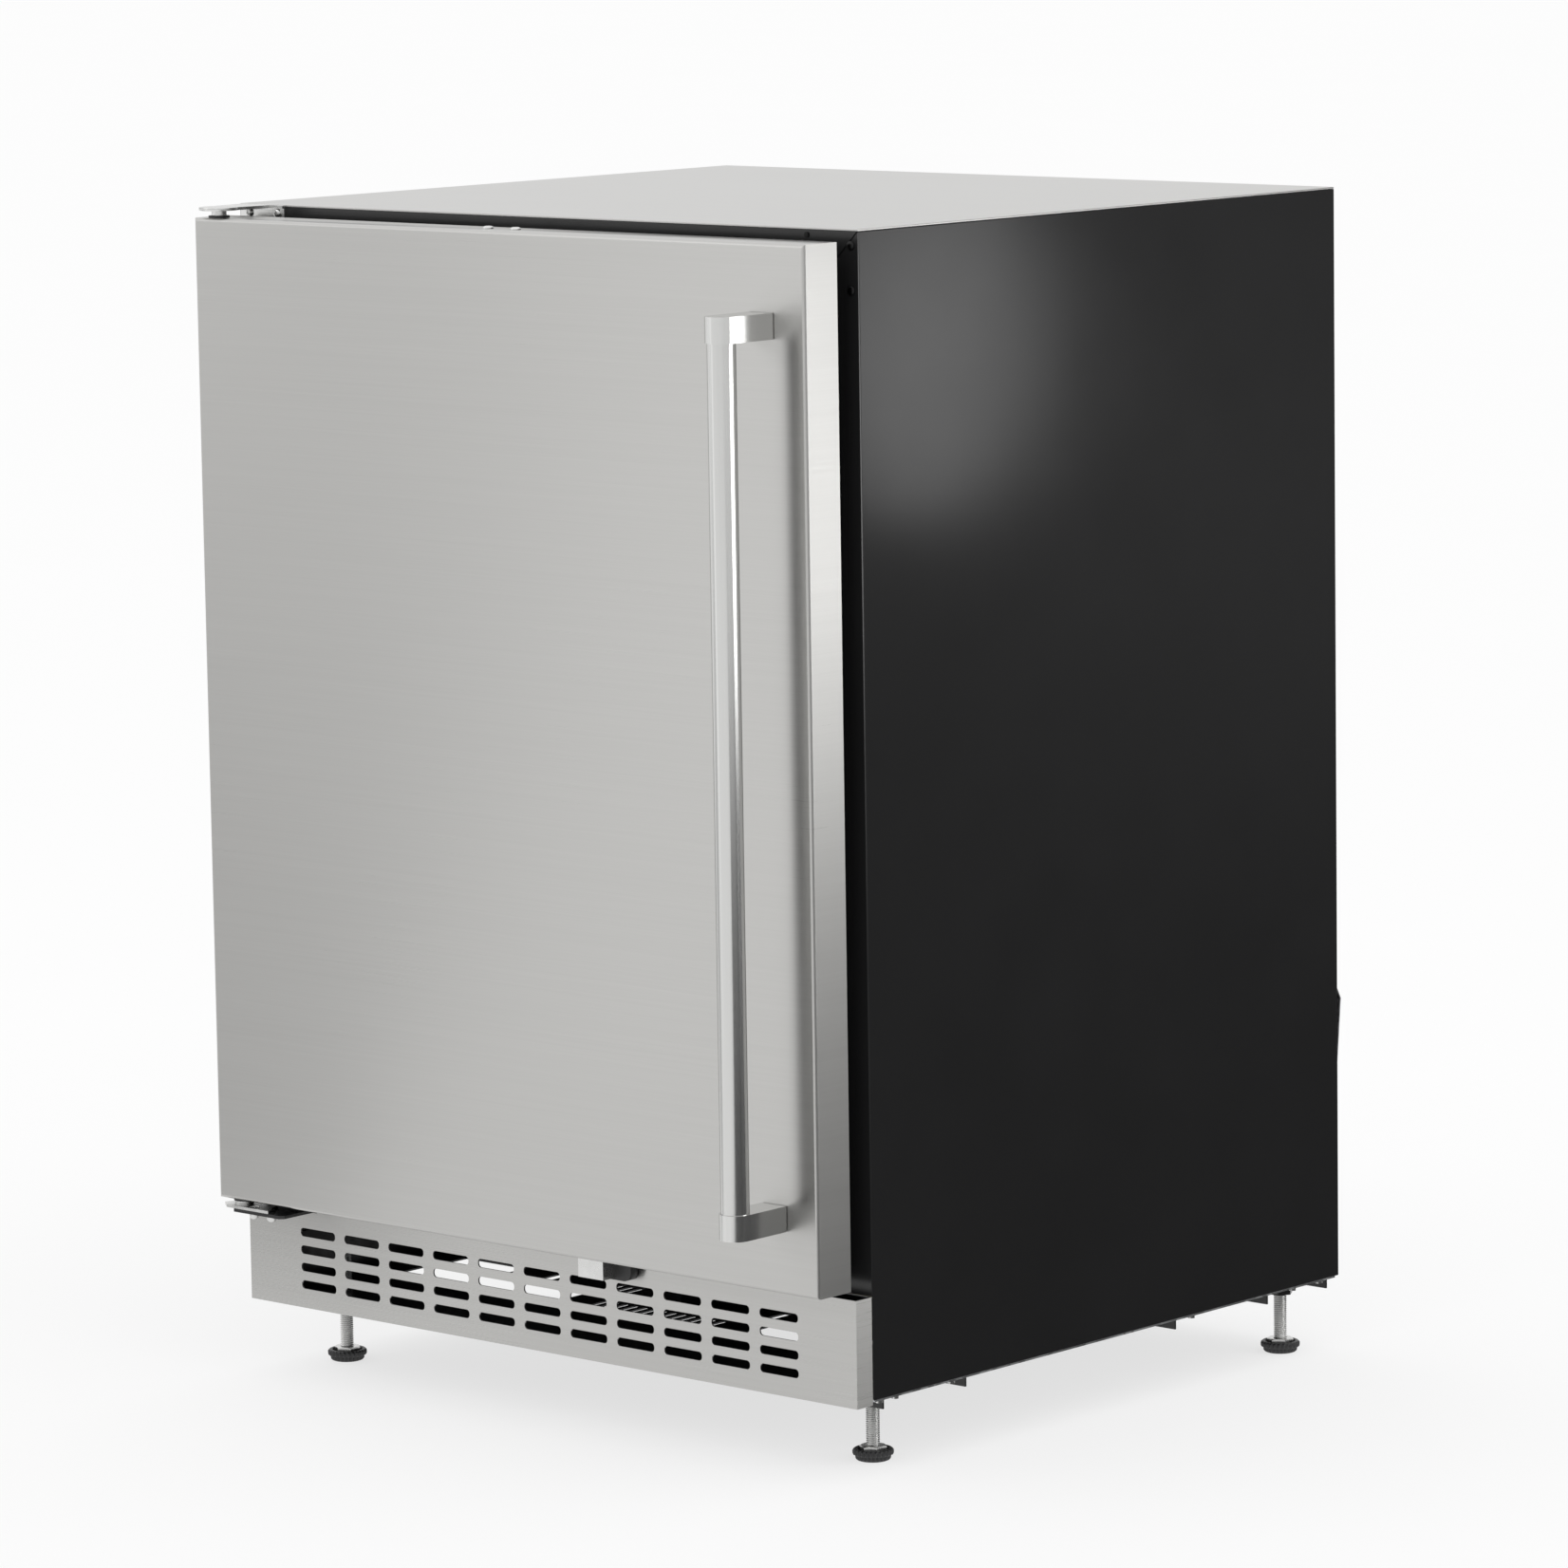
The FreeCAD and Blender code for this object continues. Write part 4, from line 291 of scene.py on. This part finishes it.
for row in frame["record"]["subparts"]:
    NODES[row["node"]].data.materials.clear()
    NODES[row["node"]].data.materials.append(looks[row["material_slot"]].mat)
NODES["kick_plate"].data.materials[0] = looks["kick_steel"].mat
NODES["base_rails"].data.materials[0] = rail_look().mat
NODES["handle_bar"].data.materials[0] = bar_look().mat
NODES["door_foam"].data.materials[0] = door_foam_look().mat

# Edges are rounded by a fraction of a millimetre to a few millimetres, so that they catch the light.
EDGES = {
    "side_panel_right": 0.5, "side_panel_left": 0.5, "top_panel": 0.4, "front_frame": 0.5,
    "upper_hinge_bracket": 0.3, "lower_hinge_bracket": 0.3, "closing_cam_plate": 0.3,
    "door_stop_bumper": 0.6, "door_liner": 1.5, "inner_liner": 0.6, "thermostat_housing": 2.0,
    "lamp_base": 1.0, "evaporator_cover": 0.6, "drip_tray": 0.6, "wiring_box": 1.5, "compressor": 1.5,
}
for node_name, millimetres in EDGES.items():
    weld = NODES[node_name].modifiers.new("weld", "WELD")
    weld.merge_threshold = 0.01 * MM
    bevel = NODES[node_name].modifiers.new("bevel", "BEVEL")
    bevel.width = millimetres * MM
    bevel.segments = 2
    bevel.limit_method = "ANGLE"
    bevel.angle_limit = math.radians(50.0)
    bevel.harden_normals = True


# ---------------------------------------------------------------- mesh helpers

def piece(name, mesh_data, body, slot_name, *nodes):
    """A finished piece: it rides on a body, takes a slot's look and stands for CAD nodes."""
    thing = bpy.data.objects.new(name, mesh_data)
    bpy.context.scene.collection.objects.link(thing)
    thing.data.materials.append(looks[slot_name].mat)
    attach(thing, body)
    if nodes:
        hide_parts(*nodes)
    return thing


def to_mesh(name, form, smooth_deg=35.0):
    """Turns a bmesh into a mesh whose edges under an angle are smooth."""
    bmesh.ops.recalc_face_normals(form, faces=form.faces)
    for face in form.faces:
        face.smooth = True
    for edge in form.edges:
        if len(edge.link_faces) == 2 and edge.calc_face_angle(0.0) > math.radians(smooth_deg):
            edge.smooth = False
    data = bpy.data.meshes.new(name)
    form.to_mesh(data)
    form.free()
    return data


def skin_rings(form, rings, closed=True):
    """Joins rings of points into quads; closed joins the last ring to the first."""
    loops = [[form.verts.new(p) for p in ring] for ring in rings]
    pairs = list(zip(loops, loops[1:])) + ([(loops[-1], loops[0])] if closed else [])
    for one, two in pairs:
        for i in range(len(one)):
            j = (i + 1) % len(one)
            form.faces.new((one[i], one[j], two[j], two[i]))
    return loops


def skin_closed(form, rings):
    """Joins rings of points into a tube and closes both of its ends."""
    loops = skin_rings(form, rings, closed=False)
    form.faces.new(loops[0])
    form.faces.new(loops[-1])


def turns(steps):
    return [2.0 * math.pi * i / steps for i in range(steps)]


def circle(radius, z, steps):
    """Points round the Z axis."""
    return [(radius * math.cos(angle), radius * math.sin(angle), z) for angle in turns(steps)]


def around(centre, radius, angle, z):
    """A point at a radius, an angle and a height in millimetres from a centre in metres."""
    return (
        centre[0] + radius * MM * math.cos(angle),
        centre[1] + radius * MM * math.sin(angle),
        centre[2] + z * MM,
    )


def lathe(form, profile, centre, steps, wobble):
    """Turns an (r, z) profile in millimetres about a vertical axis; wobble(angle, r, z) adds to r."""
    skin_closed(form, [[around(centre, r + wobble(angle, r, z), angle, z) for angle in turns(steps)]
                       for r, z in profile])


def applied(thing):
    """An object's mesh as its modifiers leave it."""
    bpy.context.view_layer.update()
    return bpy.data.meshes.new_from_object(thing.evaluated_get(bpy.context.evaluated_depsgraph_get()))


# ---------------------------------------------------------------- levelling feet

# Millimetres, with heights above the bottom of the foot.
PITCH = 1.5
STEM_LOW, STEM_TOP = 9.0, 84.0
STEM_TIP = 3.9
MAJOR, MINOR = 4.97, 4.2
NUT_BORE, NUT_SEAT, NUT_FLATS = 5.05, 8.0, 8.5
NUT_LOW, NUT_HIGH = 5.0, 10.4
NUT_CHAMFER_START, NUT_CHAMFER_SLOPE = 8.6, 0.6
NUT_STEPS = 72
CUP_RIBS, CUP_RIB_HEIGHT = 26.0, 0.5

# The cup's outline as (r, z): a narrow tread, a wide ribbed rim and the hollow round the nut.
CUP = (
    (0.3, 0.0), (10.6, 0.0), (11.6, 0.4), (12.0, 1.2), (12.1, 3.0), (12.3, 3.6), (13.6, 4.0), (14.0, 4.6),
    (14.1, 6.4), (14.0, 7.2), (13.4, 8.1), (12.4, 8.4), (11.4, 8.2), (10.9, 7.4), (10.8, 5.2), (10.4, 4.8),
    (0.3, 4.8),
)


def thread_radius(turn, z):
    """The radius of the stem at a share of a turn and a height: one helix, with a chamfered top."""
    phase = (z / PITCH - turn) % 1.0
    crest = 1.0 - min(1.0, abs(phase - 0.5) * 2.6)
    radius = MINOR + (MAJOR - MINOR) * min(1.0, crest * 1.5)
    return min(radius, STEM_TIP + (STEM_TOP - z))


def thread(centre):
    """An M10 stem."""
    steps, rows_per_turn = 28, 6
    rows = int((STEM_TOP - STEM_LOW) / PITCH * rows_per_turn)
    rings = []
    for k in range(rows + 1):
        z = STEM_LOW + (STEM_TOP - STEM_LOW) * k / rows
        rings.append([around(centre, thread_radius(i / steps, z), 2.0 * math.pi * i / steps, z)
                      for i in range(steps)])
    form = bmesh.new()
    skin_closed(form, rings)
    return to_mesh("foot_stem", form, 60.0)


def hexagon(angle, flats):
    """The distance from the middle of a hexagon to its outline at an angle."""
    off = (angle + math.pi / 6.0) % (math.pi / 3.0) - math.pi / 6.0
    return flats / math.cos(off)


def nut(centre):
    """A hexagonal nut with the rounded corners of its chamfer."""
    rings = [[around(centre, NUT_BORE, angle, NUT_LOW) for angle in turns(NUT_STEPS)]]
    for z, inwards in ((NUT_LOW, 1.0), (NUT_HIGH, -1.0)):
        ring = []
        for angle in turns(NUT_STEPS):
            radius = hexagon(angle, NUT_FLATS)
            drop = max(0.0, radius - NUT_CHAMFER_START) * NUT_CHAMFER_SLOPE
            ring.append(around(centre, radius, angle, z + inwards * drop))
        rings.append(ring)
    for radius in (NUT_SEAT, NUT_BORE):
        rings.append([around(centre, radius, angle, NUT_HIGH) for angle in turns(NUT_STEPS)])
    form = bmesh.new()
    skin_rings(form, rings)
    return to_mesh("foot_nut", form, 28.0)


def ribs(angle, r, z):
    """Grip ribs round the cup's outer wall."""
    return CUP_RIB_HEIGHT * math.cos(CUP_RIBS * angle) if r > 11.5 and 0.6 < z < 7.6 else 0.0


def cup(centre):
    form = bmesh.new()
    lathe(form, CUP, centre, 156, ribs)
    return to_mesh("foot_cup", form, 40.0)


def feet():
    for place in ("front_left", "front_right", "rear_left", "rear_right"):
        node = "foot_" + place
        low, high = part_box(node)
        centre = ((low[0] + high[0]) / 2, (low[1] + high[1]) / 2, low[2])
        piece(node + "_stem", thread(centre), node, "zinc", node)
        piece(node + "_nut", nut(centre), node, "zinc", node)
        piece(node + "_cup", cup(centre), node, "black_plastic", node)


# ---------------------------------------------------------------- screws

def shells(node):
    """The separate solids of a CAD node, each as a list of points."""
    form = bmesh.new()
    form.from_mesh(NODES[node].data)
    bmesh.ops.remove_doubles(form, verts=form.verts, dist=1e-6)
    groups, seen = [], set()
    for start in form.verts:
        if start in seen:
            continue
        stack, found = [start], []
        seen.add(start)
        while stack:
            vert = stack.pop()
            found.append(vert.co.copy())
            for edge in vert.link_edges:
                other = edge.other_vert(vert)
                if other not in seen:
                    seen.add(other)
                    stack.append(other)
        groups.append(found)
    form.free()
    return groups


def cross_cutter(arm, half, low, high):
    """Two crossed wedges that widen upwards, for cutting a cross recess."""
    form = bmesh.new()
    for turn in (0.0, math.pi / 2):
        corners = []
        for z, grow in ((low, 0.55), (high, 1.25)):
            reach = arm * grow
            for x, y in ((-reach, -half), (reach, -half), (reach, half), (-reach, half)):
                corners.append(form.verts.new((
                    x * math.cos(turn) - y * math.sin(turn), x * math.sin(turn) + y * math.cos(turn), z,
                )))
        for face in ((0, 1, 2, 3), (4, 5, 6, 7), (0, 1, 5, 4), (1, 2, 6, 5), (2, 3, 7, 6), (3, 0, 4, 7)):
            form.faces.new([corners[i] for i in face])
    return form


def raw_object(name, form):
    """An object for a Boolean, from a bmesh."""
    bmesh.ops.recalc_face_normals(form, faces=form.faces)
    data = bpy.data.meshes.new(name)
    form.to_mesh(data)
    form.free()
    thing = bpy.data.objects.new(name, data)
    bpy.context.scene.collection.objects.link(thing)
    return thing


def cross_head(radius, height):
    """A pan head along +Z from z 0, with a cross recess cut into it."""
    steps, rows, crown = 40, 9, math.radians(84.0)
    rings = [circle(radius, 0.0, steps)]
    for k in range(rows):
        slope = k / (rows - 1) * crown
        z = height * (0.25 + 0.75 * math.sin(slope))
        rings.append(circle(radius * math.cos(slope) ** 0.8, z, steps))
    form = bmesh.new()
    skin_closed(form, rings)
    head = raw_object("head", form)
    cutter = raw_object("cutter", cross_cutter(0.58 * radius, 0.13 * radius, 0.45 * height, 1.6 * height))
    modifier = head.modifiers.new("recess", "BOOLEAN")
    modifier.operation, modifier.object, modifier.solver = "DIFFERENCE", cutter, "EXACT"
    modifier.use_self = True
    done = applied(head)
    bpy.data.objects.remove(head)
    bpy.data.objects.remove(cutter)
    return done


def read_screw(points):
    """A screw's seat, the way its head faces, its sizes and its middle, from its CAD points."""
    low = Vector([min(p[i] for p in points) for i in range(3)])
    high = Vector([max(p[i] for p in points) for i in range(3)])
    middle, spans = (low + high) / 2, high - low
    axis = max(range(3), key=lambda i: abs(spans[i] - sorted(spans)[1]))
    one, two = [i for i in range(3) if i != axis]

    def reach(point):
        return math.hypot(point[one] - middle[one], point[two] - middle[two])

    at_low, at_high = (max(reach(p) for p in points if abs(p[axis] - end[axis]) < 0.30 * spans[axis])
                       for end in (low, high))
    sign = -1.0 if at_low > at_high else 1.0
    wide, shank = max(at_low, at_high), min(at_low, at_high)
    rim = [p[axis] for p in points if reach(p) > 0.97 * wide]
    seat = middle.copy()
    seat[axis] = min(rim) if sign > 0 else max(rim)
    tall = abs((high if sign > 0 else low)[axis] - seat[axis])
    out = Vector((0.0, 0.0, 0.0))
    out[axis] = sign
    return seat, out, wide, tall, shank, spans[axis] - tall, middle


HEADS = {}
SHORTEST_SHANK = 0.5 * MM


def screws(node, body, slot_name):
    """Gives every screw of a CAD node a pan head with a cross recess, in the CAD screw's place."""
    form = bmesh.new()
    for points in shells(node):
        seat, out, wide, tall, shank, length, middle = read_screw(points)
        key = (round(wide, 5), round(tall, 5))
        if key not in HEADS:
            HEADS[key] = cross_head(wide, tall)
        stand = Matrix.Translation(seat) @ Vector((0, 0, 1)).rotation_difference(out).to_matrix().to_4x4()
        # Each recess is turned by its own angle, as screws stop where they are tight.
        spin = Matrix.Rotation(round(middle[0] * 37.0 + middle[2] * 53.0, 3), 4, "Z")
        data = HEADS[key].copy()
        data.transform(stand @ spin)
        form.from_mesh(data)
        if length > SHORTEST_SHANK:
            skin_closed(form, [[stand @ Vector(p) for p in circle(shank, z, 20)] for z in (0.0, -length)])
    piece(node + "_detailed", to_mesh(node + "_detailed", form, 30.0), body, slot_name, node)


# ---------------------------------------------------------------- gasket, knob and lens

# Across the gasket's band in millimetres from its outer edge, and as a share of its depth.
BELLOWS = (
    (4.0, 0.0), (4.0, 0.12), (7.0, 0.25), (5.4, 0.38), (7.4, 0.50), (1.0, 0.56),
    (0.0, 0.64), (0.0, 0.93), (1.0, 1.0), (23.0, 1.0), (24.0, 0.93), (24.0, 0.64),
    (23.0, 0.56), (16.6, 0.50), (18.6, 0.38), (17.0, 0.25), (20.0, 0.12), (20.0, 0.0),
)


def gasket():
    """The door's vinyl seal: a foot, a folded bellows and the magnet bulb, mitred at the corners."""
    low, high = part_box("door_gasket")
    rings = []
    for side, level in ((low, low), (high, low), (high, high), (low, high)):
        right_way, up = (MM if corner is low else -MM for corner in (side, level))
        rings.append([(
            side[0] + right_way * inset, low[1] + share * (high[1] - low[1]), level[2] + up * inset,
        ) for inset, share in BELLOWS])
    form = bmesh.new()
    skin_rings(form, rings)
    piece("door_gasket_bellows", to_mesh("door_gasket_bellows", form, 30.0), "door", "gasket", "door_gasket")


# The knob's outline as (r, z) in millimetres from its wall: stub, skirt, waist and grip.
KNOB = (
    (0.3, 0.0), (3.0, 0.0), (3.0, 10.0), (19.0, 10.0), (20.0, 10.8), (20.0, 13.2), (19.2, 14.0),
    (15.2, 14.4), (14.6, 16.0), (14.2, 25.6), (13.4, 26.8), (11.6, 27.0), (11.0, 26.4), (0.3, 26.2),
)
POINTER = (1.8 * MM, 10.0 * MM, 1.4 * MM)
POINTER_PLACE = (0.0, 6.6 * MM, 27.0 * MM)
NUMBERS = range(1, 8)
NUMBER_STEP = 40.0
NUMBER_PLACE = (0.0, 17.3 * MM, 14.1 * MM)


def grips(angle, r, z):
    """Finger grips round the knob."""
    return 0.45 * math.cos(24.0 * angle) if r > 13.0 and 15.0 < z < 26.5 else 0.0


def numeral(number):
    """A flat numeral as a mesh, in the middle of its own axes."""
    font = bpy.data.curves.new("number", "FONT")
    font.body, font.size, font.extrude = str(number), 4.2 * MM, 0.1 * MM
    font.align_x, font.align_y = "CENTER", "CENTER"
    letter = bpy.data.objects.new("number", font)
    bpy.context.scene.collection.objects.link(letter)
    shape = applied(letter)
    bpy.data.objects.remove(letter)
    return shape


def knob():
    """The thermostat's knob, its pointer and the numbers on its skirt."""
    name = "thermostat_knob"
    low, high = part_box("thermostat_knob")
    facing = Matrix((
        (0, 0, -1, high[0]),
        (-1, 0, 0, (low[1] + high[1]) / 2),
        (0, 1, 0, (low[2] + high[2]) / 2),
        (0, 0, 0, 1),
    ))
    form = bmesh.new()
    lathe(form, KNOB, (0.0, 0.0, 0.0), 192, grips)
    form.transform(facing)
    piece(name + "_grip", to_mesh(name + "_grip", form, 30.0), name, "black_plastic", name)

    marks = bmesh.new()
    bar = bmesh.ops.create_cube(marks, size=1.0)["verts"]
    bmesh.ops.scale(marks, verts=bar, vec=POINTER)
    bmesh.ops.translate(marks, verts=bar, vec=POINTER_PLACE)
    bmesh.ops.bevel(marks, geom=marks.edges[:], offset=0.3 * MM, segments=2, affect="EDGES")
    for number in NUMBERS:
        shape = numeral(number)
        spin = Matrix.Rotation(math.radians(NUMBER_STEP * (4 - number)), 4, "Z")
        shape.transform(spin @ Matrix.Translation(NUMBER_PLACE))
        marks.from_mesh(shape)
    marks.transform(facing)
    piece(name + "_marks", to_mesh(name + "_marks", marks, 30.0), name, "white_plastic", name)


def lens():
    """The lamp's half-round cover, fluted along its length with rounded ends."""
    low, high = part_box("lamp_lens")
    middle, radius = (low[1] + high[1]) / 2, high[2] - low[2]
    flutes, flute_depth, steps = 24, 0.02, 192
    # Millimetres from an end, and the share of the radius there.
    ends = ((0.0, 0.86), (1.5, 0.97), (4.0, 1.0))
    stations = [(low[0] + inset * MM, share) for inset, share in ends]
    stations += [(high[0] - inset * MM, share) for inset, share in reversed(ends)]
    rings = []
    for x, share in stations:
        ring = []
        for i in range(steps + 1):
            turn = math.pi * i / steps
            reach = radius * share * (1.0 - flute_depth * (1.0 + math.cos(2.0 * flutes * turn)))
            ring.append((x, middle - reach * math.cos(turn), high[2] - reach * math.sin(turn)))
        rings.append(ring)
    form = bmesh.new()
    skin_closed(form, rings)
    piece("lamp_lens_fluted", to_mesh("lamp_lens_fluted", form, 40.0), "cabinet", "lens", "lamp_lens")


gasket()
knob()
lens()
feet()
screws("cabinet_screws", "cabinet", "zinc")
screws("spare_hole_screws", "cabinet", "black_screw")
screws("door_edge_screws", "door", "zinc")


# ---------------------------------------------------------------- stage, camera and light

def lamp(name, place, aim, wide, tall, watts, shape="RECTANGLE"):
    """A softbox of a width and a height in metres, aimed at a point; the camera doesn't see it."""
    data = bpy.data.lights.new(name, "AREA")
    data.shape, data.size, data.size_y = shape, wide, tall
    data.energy = watts
    lamp_object = bpy.data.objects.new(name, data)
    bpy.context.scene.collection.objects.link(lamp_object)
    lamp_object.location = place
    lamp_object.rotation_euler = (Vector(aim) - Vector(place)).to_track_quat("-Z", "Y").to_euler()
    lamp_object.visible_camera = False
    return lamp_object


def plane(name, corners, grey, rough, glow=0.0):
    """A flat sheet of the stage in one grey, which gives off a little light when it glows."""
    mesh = bpy.data.meshes.new(name)
    mesh.from_pydata(corners, [], [(0, 1, 2, 3)])
    sheet = bpy.data.objects.new(name, mesh)
    bpy.context.scene.collection.objects.link(sheet)
    look = Look(
        name, (grey, grey, grey), rough,
        Specular_IOR_Level=0.0, Emission_Color=(1.0, 1.0, 1.0, 1.0), Emission_Strength=glow,
    )
    look.tint(look.noise((2.0, 2.0, 2.0)), 0.995, 1.005)
    sheet.data.materials.append(look.mat)
    return sheet


def flag(name, corners, grey, glow=0.0):
    """A studio flag: a sheet that only reflections see, to shape the tones of the polished faces."""
    sheet = plane(name, corners, grey, 0.9, glow)
    sheet.visible_camera = sheet.visible_diffuse = sheet.visible_shadow = sheet.visible_transmission = False


def link_light(light, state, *nodes):
    """Lights these nodes alone (INCLUDE) or everything but them (EXCLUDE)."""
    group = bpy.data.collections.new(light.name + "_link")
    for i, node in enumerate(nodes):
        group.objects.link(NODES[node])
        group.collection_objects[i].light_linking.link_state = state
    light.light_linking.receiver_collection = group


# Brightness of the surroundings against the bearing, in degrees from straight in front round to the left.
BEARINGS = (
    (0, 0.65), (60, 0.8), (100, 0.6), (125, 0.85), (155, 0.85),
    (180, 0.5), (205, 0.22), (245, 0.22), (280, 0.45), (320, 0.5), (360, 0.65),
)
CEILING = 1.15         # brightness overhead
HORIZON = 0.10         # how far above level the surroundings start to turn into the ceiling
RISE = 1.6             # how fast they do


def surroundings():
    """A plain studio: a grey level for each bearing that blends into a bright ceiling."""
    world = bpy.data.worlds.new("studio")
    bpy.context.scene.world = world
    world.use_nodes = True
    tree = world.node_tree
    background = tree.nodes["Background"]
    background.inputs["Color"].default_value = (1.0, 1.0, 1.0, 1.0)
    way = tree.nodes.new("ShaderNodeTexCoord").outputs["Generated"]
    split = tree.nodes.new("ShaderNodeSeparateXYZ")
    tree.links.new(way, split.inputs[0])

    def sums(kind, *sources):
        node = tree.nodes.new("ShaderNodeMath")
        node.operation = kind
        for slot, source in zip(node.inputs, sources):
            if isinstance(source, bpy.types.NodeSocket):
                tree.links.new(source, slot)
            else:
                slot.default_value = source
        return node.outputs[0]

    left, front = sums("MULTIPLY", split.outputs["X"], -1.0), sums("MULTIPLY", split.outputs["Y"], -1.0)
    bearing = sums("FRACT", sums("ADD", sums("DIVIDE", sums("ARCTAN2", left, front), 2.0 * math.pi), 1.0))
    ramp = tree.nodes.new("ShaderNodeValToRGB")
    tree.links.new(bearing, ramp.inputs["Fac"])
    points = ramp.color_ramp.elements
    for degrees, _ in BEARINGS[1:-1]:
        points.new(degrees / 360.0)
    # A ramp holds colours up to 1, so the levels are halved in it and doubled after it.
    for stop, (_, level) in zip(points, BEARINGS):
        stop.color = (level / 2, level / 2, level / 2, 1.0)
    rise = sums("MAXIMUM", sums("SUBTRACT", split.outputs["Z"], HORIZON), 0.0)
    mix = sums("SMOOTH_MIN", sums("MULTIPLY", rise, RISE), 1.0, 0.2)
    low = sums("MULTIPLY", ramp.outputs["Color"], 2.0)
    level = sums("ADD", sums("MULTIPLY", low, sums("SUBTRACT", 1.0, mix)), sums("MULTIPLY", mix, CEILING))
    tree.links.new(level, background.inputs["Strength"])


FLOOR_HALF = 45.0
FLAG_LIFT = 1.0 * MM
RIGHT_FLAG = ((0.34, -0.75), (3.2, -2.4), (7.5, 9.0), (0.2, 9.0))
LEFT_FLAG = ((-0.42, -0.5), (-3.0, -0.5), (-6.0, -5.0), (-2.9, -3.2))
REAR_FLAG_ENDS, REAR_FLAG_TALL = ((3.9, 0.6), (0.9, 3.6)), 4.0


def stage():
    h = FLOOR_HALF
    plane("floor", [(-h, -h, 0), (h, -h, 0), (h, h, 0), (-h, h, 0)], 0.26, 0.7, 0.71)
    # Two flags on the floor darken the foot of the right-hand faces and calm the door's lower left.
    flag("right_flag", [(x, y, FLAG_LIFT) for x, y in RIGHT_FLAG], 0.05)
    flag("left_flag", [(x, y, FLAG_LIFT) for x, y in LEFT_FLAG], 0.2, 0.38)
    # One stands behind on the right, so that the black side panel stays black.
    near, far = REAR_FLAG_ENDS
    upright = [(*near, 0.0), (*far, 0.0), (*far, REAR_FLAG_TALL), (*near, REAR_FLAG_TALL)]
    flag("rear_flag", upright, 0.02, 0.16)
    surroundings()

    lamp("key", (-2.4, -3.4, 2.9), (0.0, 0.0, 0.45), 2.0, 2.0, 8.0)
    lamp("left_box", (-2.80, -2.16, 1.35), (-0.3, -0.27, 0.9), 0.55, 1.8, 1.3)
    lamp("front_box", (-1.65, -2.60, 0.9), (0.1, -0.27, 0.9), 0.75, 1.8, 0.9)
    right = lamp("right", (1.90, 0.92, 0.54), (0.0, 0.05, 0.54), 1.5, 0.42, 7.2)
    link_light(right, "EXCLUDE", "side_panel_right")
    glow = lamp("panel_glow", (0.62, 0.22, 0.745), (0.0, 0.22, 0.745), 0.26, 0.27, 0.40, "ELLIPSE")
    link_light(glow, "INCLUDE", "side_panel_right")
    kick = lamp("kick_glow", (1.5, 0.95, 0.28), (0.30, -0.25, 0.10), 0.9, 0.5, 5.0)
    link_light(kick, "INCLUDE", "kick_plate")


LENS, SENSOR = 166.69, 36.0                          # millimetres
CAMERA_PLACE = (3.5247, -3.90975, 1.1838)
CAMERA_YAW, CAMERA_PITCH, CAMERA_ROLL = 41.78, -8.095, -0.862    # degrees


def camera():
    data = bpy.data.cameras.new("camera")
    data.lens, data.sensor_width = LENS, SENSOR
    data.clip_end = 200.0
    cam = bpy.data.objects.new("camera", data)
    bpy.context.scene.collection.objects.link(cam)
    yaw, pitch, roll = (math.radians(a) for a in (CAMERA_YAW, CAMERA_PITCH, CAMERA_ROLL))
    forward = Vector((-math.sin(yaw) * math.cos(pitch), math.cos(yaw) * math.cos(pitch), math.sin(pitch)))
    level = Vector((math.cos(yaw), math.sin(yaw), 0.0))
    up = level.cross(forward)
    across = level * math.cos(roll) + up * math.sin(roll)
    over = up * math.cos(roll) - level * math.sin(roll)
    painted_reflection_mask = Matrix((across, over, -forward)).transposed().to_4x4()
    cam.matrix_world = Matrix.Translation(CAMERA_PLACE) @ painted_reflection_mask
    bpy.context.scene.camera = cam


stage()
camera()
bpy.context.scene.view_settings.view_transform = "Standard"
